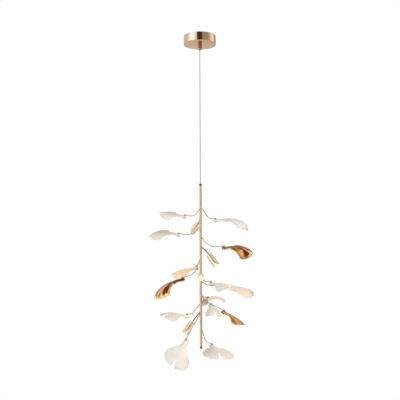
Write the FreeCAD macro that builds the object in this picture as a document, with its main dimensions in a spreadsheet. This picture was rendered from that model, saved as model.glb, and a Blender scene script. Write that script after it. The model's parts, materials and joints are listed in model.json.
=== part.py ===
"""Pendant light: a canopy, a thin cable and a straight stem that carries fourteen ginkgo leaves and five lamps.

Frame: millimetres, +Z up, origin at the centre of the canopy's ceiling face, everything hangs below it.
X runs to the right and Y away from the viewer when the light is seen from its front.
"""
import FreeCAD, Part
import math
import os
from collections import namedtuple

import Sketcher

Vector = FreeCAD.Vector
Rotation = FreeCAD.Rotation
Placement = FreeCAD.Placement
X_AXIS = Vector(1, 0, 0)
Y_AXIS = Vector(0, 1, 0)
Z_AXIS = Vector(0, 0, 1)

doc = FreeCAD.newDocument("pendant_light")

# Driving dimensions in millimetres
SIZES = [
    ("canopy_radius", 60.0, "outer radius of the ceiling canopy"),
    ("canopy_height", 31.0, "ceiling to the canopy's lower face"),
    ("canopy_wall", 1.5, "spun brass wall of the canopy"),
    ("canopy_edge_radius", 1.0, "rounding of the canopy's lower outer edge"),
    ("bracket_clearance", 4.0, "ceiling bracket's corners to the canopy's wall"),
    ("bracket_width", 20.0, "ceiling bracket strip width"),
    ("bracket_thick", 2.0, "ceiling bracket strip thickness"),
    ("slot_spacing", 66.0, "centre distance of the two ceiling screw slots"),
    ("slot_length", 14.0, "overall length of a screw slot"),
    ("slot_width", 4.5, "width of a screw slot"),
    ("nipple_radius", 5.0, "threaded tube, M10"),
    ("nipple_bore_radius", 3.2, "bore of the threaded tube"),
    ("nipple_engage", 8.0, "length of threaded tube inside the gland"),
    ("port_width", 4.0, "side port of the threaded tube"),
    ("port_height", 6.0, "height of the side port"),
    ("locknut_flats", 14.0, "locknut across flats"),
    ("locknut_height", 5.0, "locknut height"),
    ("gland_radius", 8.2, "cable gland outer radius"),
    ("gland_height", 19.0, "canopy's lower face to the gland's lower face"),
    ("gland_mouth_radius", 4.8, "flared mouth at the gland's lower face"),
    ("gland_throat_radius", 3.9, "narrowest part of the gland under the ball"),
    ("ball_height", 5.5, "ball's centre above the gland's lower face"),
    ("ball_radius", 4.5, "swivel ball in the gland"),
    ("barrel_radius", 2.2, "cross barrel crimped on the cable"),
    ("barrel_length", 6.0, "cross barrel length"),
    ("cable_radius", 1.5, "suspension cable"),
    ("cable_drop", 500.0, "gland's lower face to the top of the stem"),
    ("cable_swing", 2.1, "room beside the cable where it swings in the ball"),
    ("ferrule_radius", 2.6, "crimp ferrule that holds the cable in the stem"),
    ("ferrule_length", 9.0, "crimp ferrule length"),
    ("driver_length", 64.0, "low voltage driver in the canopy"),
    ("driver_clearance", 5.0, "driver's far corners to the canopy's wall"),
    ("driver_height", 19.0, "low voltage driver height"),
    ("driver_offset", 13.0, "driver's near face from the centre line"),
    ("terminal_length", 30.0, "mains terminal block"),
    ("terminal_width", 17.0, "mains terminal block width"),
    ("terminal_height", 14.0, "mains terminal block height"),
    ("terminal_offset", 16.0, "terminal block's near face from the centre line"),
    ("terminal_bore_radius", 2.2, "wire bore of the terminal block"),
    ("terminal_pitch", 10.0, "distance between the terminal block's bores"),
    ("lead_radius", 1.3, "leads inside the canopy"),
    ("lead_bend", 4.0, "bend radius of a lead"),
    ("lead_reach", 12.0, "how far a mains lead stands out beside the terminal block"),
    ("stem_radius", 4.6, "outer radius of the stem"),
    ("stem_bore_radius", 3.5, "bore of the stem"),
    ("stem_length", 590.0, "stem over its end caps"),
    ("cap_height", 8.0, "dark end caps of the stem"),
    ("cap_plug", 10.0, "length of a cap's plug inside the stem"),
    ("cap_floor", 2.0, "top cap's floor above the ferrule"),
    ("loom_radius", 1.6, "wires inside the stem"),
    ("arm_length", 100.0, "length that the arm shares refer to"),
    ("arm_radius", 1.5, "leaf arm wire"),
    ("lamp_arm_radius", 2.0, "lamp arm tube"),
    ("lamp_arm_bore_radius", 1.3, "bore of the lamp arm tube"),
    ("lamp_lead_radius", 0.9, "lead inside a lamp arm"),
    ("twig_radius", 0.9, "brace twigs between neighbouring branches"),
    ("seat_radius", 4.0, "turned seat at the end of a leaf arm"),
    ("seat_crown_radius", 2.6, "flat crown on the seat"),
    ("seat_top", 2.2, "crown above the arm's centre line"),
    ("seat_drop", 4.0, "arm's centre line to the middle of the leaf"),
    ("stud_radius", 1.5, "stud under the seat"),
    ("nut_radius", 3.2, "cap nut under the leaf"),
    ("nut_height", 8.0, "cap nut height"),
    ("nut_tip_radius", 1.8, "lower end of the cap nut"),
    ("nut_floor", 1.6, "closed end of the cap nut"),
    ("nut_drop", 1.3, "leaf's underside to the cap nut"),
    ("leaf_length", 120.0, "stud to tip, of a leaf of share one"),
    ("leaf_thick", 2.4, "porcelain thickness"),
    ("leaf_behind", 7.0, "neck behind the stud"),
    ("neck_half_width", 12.0, "half of the neck's width when rolled flat"),
    ("neck_radius", 7.0, "radius to which the neck is rolled"),
    ("fan_start", 14.0, "stud to where the fan begins"),
    ("fan_blend", 20.0, "length over which the fan opens"),
    ("cup_radius", 11.5, "lamp cup outer radius"),
    ("cup_length", 50.0, "lamp cup length"),
    ("cup_wall", 1.0, "lamp cup wall"),
    ("notch_depth", 15.0, "vee notches in the lamp cup's rim"),
    ("notch_half_width", 7.0, "half width of a notch at the rim"),
    ("collar_radius", 3.4, "collar between lamp arm and cup"),
    ("collar_length", 5.0, "collar length"),
    ("socket_radius", 7.0, "ceramic bulb socket"),
    ("socket_length", 12.0, "ceramic bulb socket length"),
    ("pin_radius", 0.4, "bulb pins"),
    ("pin_length", 7.0, "bulb pins' length"),
    ("pin_half_spacing", 2.0, "half the distance between the bulb's pins"),
    ("bulb_radius", 5.5, "bulb envelope"),
    ("bulb_length", 27.0, "bulb from its base to its tip"),
    ("bulb_base_radius", 4.6, "bulb's base"),
    ("bulb_base_length", 6.0, "bulb's base length"),
    ("running_clearance", 0.2, "clearance of a turning or sliding fit"),
    ("seat_clearance", 0.3, "clearance between faces of parts that move past each other"),
    ("fixed_clearance", 0.05, "clearance between parts that stay fixed"),
    ("overrun", 5.0, "how far cutting tools reach past what they cut"),
]

sheet = doc.addObject("Spreadsheet::Sheet", "sizes")
for row, (alias, value, note) in enumerate(SIZES, start=1):
    sheet.set("A%d" % row, note)
    sheet.set("B%d" % row, str(value))
    sheet.setAlias("B%d" % row, alias)
doc.recompute()


class Size:
    """A length with its number and the expression that ties it to the sheet."""

    def __init__(self, value, text):
        self.value = value
        self.text = text

    def join(self, other, sign, result):
        return Size(result, "(%s %s %s)" % (self.text, sign, other.text))

    def __add__(self, other):
        return self.join(other, "+", self.value + other.value)

    def __sub__(self, other):
        return self.join(other, "-", self.value - other.value)

    def __mul__(self, factor):
        return Size(self.value * factor, "(%s * %.9f)" % (self.text, factor))

    def __truediv__(self, factor):
        return self * (1 / factor)

    def __neg__(self):
        return self * -1


def size(alias):
    return Size(float(sheet.get(alias)), "sizes." + alias)


def chord_half(radius, offset):
    """Half of a circle's chord at an offset from its centre."""
    value = math.sqrt(radius.value ** 2 - offset.value ** 2)
    return Size(value, "sqrt(%s ^ 2 - %s ^ 2)" % (radius.text, offset.text))


def mm(alias):
    return float(sheet.get(alias))


ZERO = Size(0.0, "0")

# Heights that several pieces share
gland_top = -size("canopy_height")
gland_foot = gland_top - size("gland_height")
tube_end = gland_top - size("nipple_engage")
ball_centre = gland_foot + size("ball_height")
stem_top = gland_foot - size("cable_drop")
stem_foot = stem_top - size("stem_length")
canopy_floor = gland_top + size("canopy_wall")

# Branches, from the top down. Angles in degrees: azimuth is the arm's direction round the stem (0 to the
# right, 90 away from the viewer), steep the arm's slope where it leaves the stem, pitch its slope at its end.
# Heights are shares of the stem's length below its top; the arm's two straight runs and the radius of the
# bend between them are shares of arm_length.
Arm = namedtuple("Arm", "azimuth height_share steep run_in_share bend_share run_out_share pitch")

# A leaf's roll is its seat's turn about the arm and its yaw its turn on the stud. Its length is a share of
# leaf_length; spread is half of the fan's angle, fold how far its two sides bend down, droop how far the
# blade bends along its length, curl how late it does so, twist how it turns about its length.
Leaf = namedtuple("Leaf", "name arm roll yaw length_share spread fold droop curl twist")
LEAVES = [
    Leaf("01", Arm(-4, 0.139, 56, 0.43, 0.22, 0.10, -4), 0, 0, 1.16, 34, 54, 104, 3, 10),
    Leaf("02", Arm(184, 0.144, 60, 0.22, 0.26, 0.18, -12), 0, 0, 0.77, 42, 46, 34, 3, -24),
    Leaf("03", Arm(176, 0.254, 58, 0.12, 0.52, 0.16, -15), 0, 5, 0.92, 40, 36, 70, 2, -20),
    Leaf("04", Arm(-6, 0.317, 58, 0.18, 0.56, 0.20, -6), 16, -4, 0.96, 42, 66, 64, 2, 8),
    Leaf("05", Arm(116, 0.444, 62, 0.26, 0.16, 0.15, 20), 0, 56, 0.81, 44, 66, 28, 2, 4),
    Leaf("06", Arm(184, 0.447, 71, 0.45, 0.42, 0.22, 12), -5, 14, 1.10, 40, 60, 68, 2, 0),
    Leaf("07", Arm(-20, 0.583, 30, 0.14, 0.20, 0.16, -2), 12, -25, 0.80, 40, 60, 12, 2, 0),
    Leaf("08", Arm(14, 0.597, 28, 0.20, 0.60, 0.42, 2), 20, 0, 0.95, 40, 50, 22, 2, 0),
    Leaf("09", Arm(35, 0.674, 40, 0.12, 0.18, 0.09, -6), 14, 4, 0.62, 40, 50, 30, 2, 0),
    Leaf("10", Arm(-35, 0.678, 52, 0.24, 0.26, 0.16, 12), 0, -43, 0.78, 34, 100, 36, 2, 0),
    Leaf("11", Arm(10, 0.683, 46, 0.20, 0.90, 0.48, 24), -8, 10, 0.76, 38, 60, 26, 2, 0),
    Leaf("12", Arm(186, 0.725, 52, 0.40, 0.24, 0.02, -12), 0, 26, 0.83, 38, 44, 36, 2, -10),
    Leaf("13", Arm(172, 0.783, 60, 0.72, 0.60, 0.38, 62), -76, -1, 0.92, 42, 22, 10, 2, 0),
    Leaf("14", Arm(-20, 0.868, 72, 0.43, 0.26, 0.08, 10), 0, -52, 0.97, 44, 26, 42, 2, 4),
]

# Lamps, from the top down; each cup follows on along the end of its arm
Lamp = namedtuple("Lamp", "name arm")
LAMPS = [
    Lamp("1", Arm(118, 0.190, 66, 0.26, 0.16, 0.06, 30)),
    Lamp("2", Arm(-15, 0.386, 36, 0.20, 0.20, 0.16, 54)),
    Lamp("3", Arm(-90, 0.544, 45, 0.12, 0.12, 0.07, 6)),
    Lamp("4", Arm(76, 0.708, 45, 0.12, 0.12, 0.05, 0)),
    Lamp("5", Arm(195, 0.776, 48, 0.26, 0.20, 0.22, 54)),
]

# Brace twigs: from a leaf's arm at a share of its length to a lamp's arm at a share of its length
Twig = namedtuple("Twig", "leaf leaf_share lamp lamp_share")
TWIGS = [
    Twig("04", 0.62, "2", 0.80),
    Twig("06", 0.56, "3", 0.34),
    Twig("07", 0.50, "3", 0.62),
    Twig("09", 0.60, "4", 0.70),
    Twig("12", 0.72, "5", 0.62),
]

# Shape shares of a leaf, all of its own length: where the blade is fully open, how far the outer corners are
# drawn back, where the centre notch ends and its half width at the tip
OPEN_SHARE = 0.42
CORNER_BACK_SHARE = 0.25
NOTCH_END_SHARE = 0.68
NOTCH_HALF_WIDTH_SHARE = 0.07
SPINE_STEPS = 16
ROWS_ALONG = 13
COLUMNS_ACROSS = 15


def new_body(name):
    return doc.addObject("PartDesign::Body", name)


def origin_plane(body, role):
    for feature in body.Origin.OriginFeatures:
        if feature.Role == role:
            return feature
    raise ValueError(role)


def new_sketch(body, name, role, offset=None):
    sketch = body.newObject("Sketcher::SketchObject", name)
    sketch.AttachmentSupport = (origin_plane(body, role), [""])
    sketch.MapMode = "FlatFace"
    if offset is not None:
        sketch.AttachmentOffset = offset
    return sketch


def place_point(sketch, geometry, point, x, y):
    """Ties one point of a sketch to lengths measured from the sketch's origin."""
    for kind, length, axis in (("DistanceX", x, -2), ("DistanceY", y, -1)):
        if length is None:
            continue
        if length.value == 0:
            sketch.addConstraint(Sketcher.Constraint("PointOnObject", geometry, point, axis))
            continue
        made = sketch.addConstraint(Sketcher.Constraint(kind, -1, 1, geometry, point, length.value))
        name = "at%d_%d_%s" % (geometry, point, kind[-1].lower())
        sketch.renameConstraint(made, name)
        sketch.setExpression("Constraints." + name, length.text)


def outline(sketch, corners):
    """Closed outline through corners, each a pair of lengths measured from the sketch's origin."""
    points = [Vector(x.value, y.value, 0) for x, y in corners]
    count = len(points)
    for index in range(count):
        sketch.addGeometry(Part.LineSegment(points[index], points[(index + 1) % count]), False)
    for index in range(count):
        sketch.addConstraint(Sketcher.Constraint("Coincident", index, 2, (index + 1) % count, 1))
    for index, (x, y) in enumerate(corners):
        place_point(sketch, index, 1, x, y)


def circle(sketch, radius, x=ZERO, y=ZERO):
    made = sketch.addGeometry(Part.Circle(Vector(x.value, y.value, 0), Z_AXIS, radius.value), False)
    index = sketch.addConstraint(Sketcher.Constraint("Radius", made, radius.value))
    name = "radius%d" % made
    sketch.renameConstraint(index, name)
    sketch.setExpression("Constraints." + name, radius.text)
    place_point(sketch, made, 3, x, y)


def revolve(body, name, corners):
    """Turns an outline of (radius, height) corners about the body's Z."""
    sketch = new_sketch(body, name + "_profile", "XZ_Plane")
    outline(sketch, corners)
    feature = body.newObject("PartDesign::Revolution", name)
    feature.Profile = sketch
    feature.ReferenceAxis = (sketch, ["V_Axis"])
    feature.Angle = 360
    return feature


def pad(body, name, sketch, length, down=False):
    feature = body.newObject("PartDesign::Pad", name)
    feature.Profile = sketch
    feature.setExpression("Length", length.text)
    feature.Reversed = down
    return feature


def turned(name, corners, placement=None):
    body = new_body(name)
    revolve(body, name + "_turn", corners)
    if placement is not None:
        body.Placement = placement
    return body


def primitive(kind, name, sizes, placement=None):
    piece = doc.addObject(kind, name)
    for field, length in sizes.items():
        piece.setExpression(field, length.text)
    if placement is not None:
        piece.Placement = placement
    return piece


def block(name, low, spans):
    """Box from its low corner and its three spans."""
    fields = dict(zip(("Length", "Width", "Height"), spans))
    corner = Vector(*[length.value for length in low])
    return primitive("Part::Box", name, fields, Placement(corner, Rotation()))


def rod(name, radius, height, placement):
    return primitive("Part::Cylinder", name, {"Radius": radius, "Height": height}, placement)


def at_height(height):
    return Placement(Vector(0, 0, height.value), Rotation())


def group(name, pieces):
    piece = doc.addObject("Part::Compound", name)
    piece.Links = pieces
    return piece


def cut(name, base, tools):
    piece = doc.addObject("Part::Cut", name)
    piece.Base = base
    piece.Tool = tools[0] if len(tools) == 1 else group(name + "_tools", tools)
    return piece


NODES = []


def node(label, piece):
    piece.Label = label
    NODES.append(piece)
    return piece


# Ceiling bracket: a strip with two screw slots and a centre hole
def ceiling_bracket():
    body = new_body("bracket_body")
    sketch = new_sketch(body, "bracket_strip", "XY_Plane")
    half_width = size("bracket_width") / 2
    half_length = chord_half(size("canopy_radius") - size("canopy_wall") - size("bracket_clearance"), half_width)
    outline(sketch, [(-half_length, -half_width), (half_length, -half_width),
                     (half_length, half_width), (-half_length, half_width)])
    pad(body, "bracket_pad", sketch, size("bracket_thick"), down=True)
    under = -size("bracket_thick") - size("overrun")
    through = size("bracket_thick") + size("overrun") * 2
    tools = [rod("bracket_hole", size("nipple_radius") + size("fixed_clearance"), through, at_height(under))]
    run = size("slot_length") - size("slot_width")
    for side in (-1, 1):
        middle = size("slot_spacing") * (side / 2)
        tools.append(block("slot_middle", (middle - run / 2, -size("slot_width") / 2, under),
                           (run, size("slot_width"), through)))
        for end in (-1, 1):
            centre = middle + run * (end / 2)
            place = Placement(Vector(centre.value, 0, under.value), Rotation())
            tools.append(rod("slot_end", size("slot_width") / 2, through, place))
    node("ceiling_bracket", cut("bracket_cut", body, tools))


# Canopy: an open cup with a centre hole for the threaded tube
def canopy_cup():
    radius = size("canopy_radius")
    wall = size("canopy_wall")
    hole = size("nipple_radius") + size("fixed_clearance")
    body = turned("canopy_body", [
        (hole, gland_top), (radius, gland_top), (radius, ZERO), (radius - wall, ZERO),
        (radius - wall, canopy_floor), (hole, canopy_floor)])
    doc.recompute()
    rim = []
    for index, edge in enumerate(body.Tip.Shape.Edges, start=1):
        box = edge.BoundBox
        low = abs(box.ZMax - gland_top.value) < mm("fixed_clearance")
        if low and box.XMax > mm("canopy_radius") - mm("canopy_wall"):
            rim.append("Edge%d" % index)
    fillet = body.newObject("PartDesign::Fillet", "canopy_edge")
    fillet.Base = (body.Group[1], rim)
    fillet.setExpression("Radius", size("canopy_edge_radius").text)
    node("canopy_cup", body)


def lead_height():
    """Height at which the low voltage lead leaves the driver."""
    return canopy_floor + size("driver_height") * (2 / 3)


# Threaded tube from the bracket through the canopy into the gland, with a side port for the lead
def mounting_nipple():
    radius = size("nipple_radius")
    bore = size("nipple_bore_radius")
    tube = turned("nipple_body", [(bore, tube_end), (radius, tube_end), (radius, ZERO), (bore, ZERO)])
    port = block("nipple_port", (-size("port_width") / 2, ZERO, lead_height() - size("port_height") / 2),
                 (size("port_width"), radius + size("overrun"), size("port_height")))
    node("mounting_nipple", cut("nipple_cut", tube, [port]))


def bracket_locknut():
    body = new_body("locknut_body")
    sketch = new_sketch(body, "locknut_hexagon", "XY_Plane")
    across = size("locknut_flats") / math.sqrt(3)
    half = across / 2
    flat = size("locknut_flats") / 2
    outline(sketch, [(across, ZERO), (half, flat), (-half, flat), (-across, ZERO), (-half, -flat), (half, -flat)])
    pad(body, "locknut_pad", sketch, size("locknut_height"), down=True)
    body.Placement = at_height(-size("bracket_thick"))
    under = -size("bracket_thick") - size("locknut_height") - size("overrun")
    through = size("locknut_height") + size("overrun") * 2
    bore = rod("locknut_bore", size("nipple_radius") + size("fixed_clearance"), through, at_height(under))
    node("bracket_locknut", cut("locknut_cut", body, [bore]))


# Gland: clamps the canopy from below, holds the swivel ball in a round seat, opens to a flared mouth
def cable_gland():
    throat = size("gland_throat_radius")
    thread = size("nipple_radius") + size("fixed_clearance")
    ball_room = size("ball_radius") + size("running_clearance")
    shoulder = tube_end - size("seat_clearance")
    flare = size("ball_height") - size("gland_throat_radius")
    body = turned("gland_body", [
        (throat, gland_foot + flare), (size("gland_mouth_radius"), gland_foot),
        (size("gland_radius"), gland_foot), (size("gland_radius"), gland_top),
        (thread, gland_top), (thread, shoulder), (ball_room, shoulder), (ball_room, ball_centre),
        (throat, ball_centre)])
    seat = primitive("Part::Sphere", "ball_seat", {"Radius": ball_room}, at_height(ball_centre))
    node("cable_gland", cut("gland_cut", body, [seat]))


# Swivel ball: turns in the gland about Y and carries the cable's cross barrel in a bore along X
def swivel_ball():
    ball = primitive("Part::Sphere", "ball_round", {"Radius": size("ball_radius")}, at_height(ball_centre))
    half = size("barrel_length") / 2 + size("seat_clearance")
    across = Placement(Vector(-half.value, 0, ball_centre.value), Rotation(Y_AXIS, 90))
    bore = rod("ball_bore", size("barrel_radius") + size("running_clearance"), half * 2, across)
    side = size("cable_radius") + size("seat_clearance")
    swing = size("cable_radius") + size("cable_swing")
    depth = size("ball_radius") + size("overrun")
    slot = block("ball_slot", (-side, -swing, ball_centre - depth), (side * 2, swing * 2, depth))
    node("swivel_ball", cut("ball_cut", ball, [bore, slot]))


# Cable with its cross barrel in the ball and its ferrule in the stem's top cap
def suspension_cable():
    upper = ball_centre + size("cable_radius")
    lower = stem_top - size("cap_floor") - size("seat_clearance") - size("ferrule_length")
    node("suspension_cable", rod("cable_run", size("cable_radius"), upper - lower, at_height(lower)))
    half = size("barrel_length") / 2
    across = Placement(Vector(-half.value, 0, ball_centre.value), Rotation(Y_AXIS, 90))
    barrel = rod("barrel_round", size("barrel_radius"), size("barrel_length"), across)
    bore_radius = size("cable_radius") + size("fixed_clearance")
    reach = size("barrel_radius") + size("overrun")
    bore = rod("barrel_bore", bore_radius, reach * 2, at_height(ball_centre - reach))
    node("cable_barrel", cut("barrel_cut", barrel, [bore]))
    top = lower + size("ferrule_length")
    node("cable_ferrule", turned("ferrule_body", [
        (bore_radius, lower), (size("ferrule_radius"), lower), (size("ferrule_radius"), top),
        (bore_radius, top)]))


# Driver and terminal block stand on the canopy's floor
def led_driver():
    room = size("canopy_radius") - size("canopy_wall") - size("driver_clearance")
    width = chord_half(room, size("driver_length") / 2) - size("driver_offset")
    node("led_driver", block("driver_case", (-size("driver_length") / 2, size("driver_offset"), canopy_floor),
                             (size("driver_length"), width, size("driver_height"))))


def terminal_block():
    far = -size("terminal_offset") - size("terminal_width")
    case = block("terminal_case", (-size("terminal_length") / 2, far, canopy_floor),
                 (size("terminal_length"), size("terminal_width"), size("terminal_height")))
    start = -size("terminal_length") / 2 - size("overrun")
    through = size("terminal_length") + size("overrun") * 2
    middle = canopy_floor + size("terminal_height") / 2
    tools = []
    for side in (-1, 1):
        line = far + size("terminal_width") / 2 + size("terminal_pitch") * (side / 2)
        place = Placement(Vector(start.value, line.value, middle.value), Rotation(Y_AXIS, 90))
        tools.append(rod("terminal_bore", size("terminal_bore_radius"), through, place))
    node("terminal_block", cut("terminal_cut", case, tools))


def pipe(body, name, spine, profile):
    feature = body.newObject("PartDesign::AdditivePipe", name)
    feature.Profile = profile
    feature.Spine = spine
    return feature


def bent_spine(sketch, first, bend, last, turn):
    """Path from the origin towards -X: a straight run, an arc that turns by `turn` degrees, a straight run."""
    side = 1 if turn >= 0 else -1
    angle = math.radians(abs(turn))
    joint_x = -first
    centre_y = bend * side
    after_x = joint_x - bend * math.sin(angle)
    after_y = bend * (side * (1 - math.cos(angle)))
    end_x = after_x - last * math.cos(angle)
    end_y = after_y + last * (side * math.sin(angle))
    joint = Vector(joint_x.value, 0, 0)
    after = Vector(after_x.value, after_y.value, 0)
    end = Vector(end_x.value, end_y.value, 0)
    ring = Part.Circle(Vector(joint_x.value, centre_y.value, 0), Z_AXIS, bend.value)
    quarter = math.pi / 2
    if side > 0:
        arc = Part.ArcOfCircle(ring, -quarter - angle, -quarter)
    else:
        arc = Part.ArcOfCircle(ring, quarter, quarter + angle)
    joint_point = 1 + int(side > 0)
    after_point = 3 - joint_point
    sketch.addGeometry(Part.LineSegment(Vector(0, 0, 0), joint), False)
    sketch.addGeometry(arc, False)
    sketch.addGeometry(Part.LineSegment(after, end), False)
    sketch.addConstraint(Sketcher.Constraint("Coincident", 0, 1, -1, 1))
    sketch.addConstraint(Sketcher.Constraint("Coincident", 0, 2, 1, joint_point))
    sketch.addConstraint(Sketcher.Constraint("Coincident", 1, after_point, 2, 1))
    place_point(sketch, 0, 2, joint_x, ZERO)
    place_point(sketch, 1, 3, joint_x, centre_y)
    if angle < quarter / 2:
        place_point(sketch, 1, after_point, after_x, None)
    else:
        place_point(sketch, 1, after_point, None, after_y)
    place_point(sketch, 2, 2, end_x, end_y)


# Two mains leads from the terminal block to the driver, and the feed from the driver down to the ball
def supply_leads():
    pieces = []
    bend = size("lead_bend")
    line = -size("terminal_offset") - size("terminal_width") / 2 + size("terminal_pitch") / 2
    beside = size("terminal_length") / 2 + size("lead_reach")
    level = canopy_floor + size("terminal_height") / 2
    for side in (-1, 1):
        body = new_body("mains_lead_body")
        spine = new_sketch(body, "mains_lead_path", "XY_Plane")
        bent_spine(spine, size("driver_offset") - line - bend, bend, size("lead_reach") - bend, 90 * side)
        profile = new_sketch(body, "mains_lead_round", "YZ_Plane")
        circle(profile, size("lead_radius"))
        pipe(body, "mains_lead_pipe", spine, profile)
        place = Vector(beside.value * side, mm("driver_offset"), level.value)
        body.Placement = Placement(place, Rotation(Z_AXIS, 90))
        pieces.append(body)
    foot = ball_centre + size("ball_radius") + size("seat_clearance")
    body = new_body("lamp_feed_body")
    spine = new_sketch(body, "lamp_feed_path", "XZ_Plane")
    bent_spine(spine, lead_height() - bend - foot, bend, size("driver_offset") - bend, 90)
    profile = new_sketch(body, "lamp_feed_round", "YZ_Plane")
    circle(profile, size("lead_radius"))
    pipe(body, "lamp_feed_pipe", spine, profile)
    body.Placement = Placement(Vector(0, 0, foot.value), Rotation(Z_AXIS, 90) * Rotation(Y_AXIS, 90))
    pieces.append(body)
    node("supply_leads", group("lead_group", pieces))


# Stem: a straight tube between two end caps, with a port where each lamp arm leaves it
def stem():
    top = stem_top - size("cap_height")
    foot = stem_foot + size("cap_height")
    tube = turned("stem_body", [
        (size("stem_bore_radius"), foot), (size("stem_radius"), foot),
        (size("stem_radius"), top), (size("stem_bore_radius"), top)])
    ports = []
    for lamp in LAMPS:
        root = stem_top - size("stem_length") * lamp.arm.height_share
        out = Rotation(Z_AXIS, lamp.arm.azimuth) * Rotation(Y_AXIS, 90 + lamp.arm.steep)
        reach = size("stem_radius") * 2 + size("overrun")
        ports.append(rod("stem_port", size("lamp_arm_bore_radius"), reach,
                         Placement(Vector(0, 0, root.value), out)))
    node("stem_rod", cut("stem_cut", tube, ports))
    plug = size("stem_bore_radius") - size("fixed_clearance")
    pocket = size("ferrule_radius") + size("seat_clearance")
    hole = size("cable_radius") + size("seat_clearance")
    floor = stem_top - size("cap_floor")
    node("stem_top_cap", turned("top_cap_body", [
        (pocket, top - size("cap_plug")), (plug, top - size("cap_plug")), (plug, top),
        (size("stem_radius"), top), (size("stem_radius"), stem_top), (hole, stem_top),
        (hole, floor), (pocket, floor)]))
    node("stem_bottom_cap", turned("bottom_cap_body", [
        (ZERO, stem_foot), (size("stem_radius"), stem_foot), (size("stem_radius"), foot),
        (plug, foot), (plug, foot + size("cap_plug")), (ZERO, foot + size("cap_plug"))]))
    loom_top = floor - size("ferrule_length") - size("seat_clearance") * 2
    loom_foot = foot + size("cap_plug") + size("seat_clearance")
    node("stem_wiring", rod("loom", size("loom_radius"), loom_top - loom_foot, at_height(loom_foot)))


def arm_lengths(arm):
    unit = size("arm_length")
    return unit * arm.run_in_share, unit * arm.bend_share, unit * arm.run_out_share


def arm_point(arm, share):
    """Point on an arm's centre line at a share of its length from the stem's axis."""
    run_in, bend, run_out = [length.value for length in arm_lengths(arm)]
    side = 1 if arm.steep >= arm.pitch else -1
    steep = math.radians(arm.steep)
    turn = math.radians(abs(arm.steep - arm.pitch))
    left = (run_in + bend * turn + run_out) * share
    first = min(left, run_in)
    left -= first
    turned_by = min(left / bend, turn)
    left -= bend * turned_by
    slope = steep - side * turned_by
    out = first * math.cos(steep) + side * bend * (math.sin(steep) - math.sin(slope)) + left * math.cos(slope)
    drop = first * math.sin(steep) + side * bend * (math.cos(slope) - math.cos(steep)) + left * math.sin(slope)
    azimuth = math.radians(arm.azimuth)
    root = stem_top - size("stem_length") * arm.height_share
    return Vector(out * math.cos(azimuth), out * math.sin(azimuth), root.value - drop)


def arm_frame(arm, roll=0):
    """Frame at an arm's end: X along the arm, Z up and square to it."""
    turn = Rotation(Z_AXIS, arm.azimuth) * Rotation(Y_AXIS, arm.pitch) * Rotation(X_AXIS, roll)
    return Placement(arm_point(arm, 1), turn)


def arm_pipe(body, name, arm, roll, radii):
    run_in, bend, run_out = arm_lengths(arm)
    tilt = Placement(Vector(0, 0, 0), Rotation(X_AXIS, -roll))
    spine = new_sketch(body, name + "_path", "XZ_Plane", tilt)
    bent_spine(spine, run_out, bend, run_in, arm.steep - arm.pitch)
    profile = new_sketch(body, name + "_round", "YZ_Plane")
    for radius in radii:
        circle(profile, radius)
    return pipe(body, name, spine, profile)


def stem_room(radius, name):
    """Round tool on the stem's axis that copes whatever meets the stem."""
    return rod(name, radius, size("stem_length") + size("overrun") * 2, at_height(stem_foot - size("overrun")))


# Leaf arm: wire from the stem, with a turned seat and a stud at its end
def leaf_arm(leaf):
    body = new_body("arm_body_" + leaf.name)
    seat_foot = size("leaf_thick") / 2 + size("seat_clearance") - size("seat_drop")
    stud_foot = nut_foot() + size("nut_floor") + size("seat_clearance")
    revolve(body, "seat_" + leaf.name, [
        (ZERO, stud_foot), (size("stud_radius"), stud_foot), (size("stud_radius"), seat_foot),
        (size("seat_radius"), seat_foot), (size("seat_radius"), size("seat_top") / 2),
        (size("seat_crown_radius"), size("seat_top")), (ZERO, size("seat_top"))])
    arm_pipe(body, "wire_" + leaf.name, leaf.arm, leaf.roll, [size("arm_radius")])
    body.Placement = arm_frame(leaf.arm, leaf.roll)
    room = stem_room(size("stem_radius") + size("fixed_clearance"), "arm_room_" + leaf.name)
    return node("leaf_arm_" + leaf.name, cut("arm_cut_" + leaf.name, body, [room]))


def nut_top():
    return -size("seat_drop") - size("leaf_thick") / 2 - size("nut_drop")


def nut_foot():
    return nut_top() - size("nut_height")


def cap_nut(leaf):
    bore = size("stud_radius") + size("fixed_clearance")
    bore_end = nut_foot() + size("nut_floor")
    return turned("nut_body_" + leaf.name, [
        (ZERO, nut_foot()), (size("nut_tip_radius"), nut_foot()), (size("nut_radius"), bore_end),
        (size("nut_radius"), nut_top()), (bore, nut_top()), (bore, bore_end), (ZERO, bore_end)],
        arm_frame(leaf.arm, leaf.roll))


def leaf_frame(leaf):
    down = Placement(Vector(0, 0, -mm("seat_drop")), Rotation(Z_AXIS, leaf.yaw))
    return arm_frame(leaf.arm, leaf.roll) * down


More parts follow.
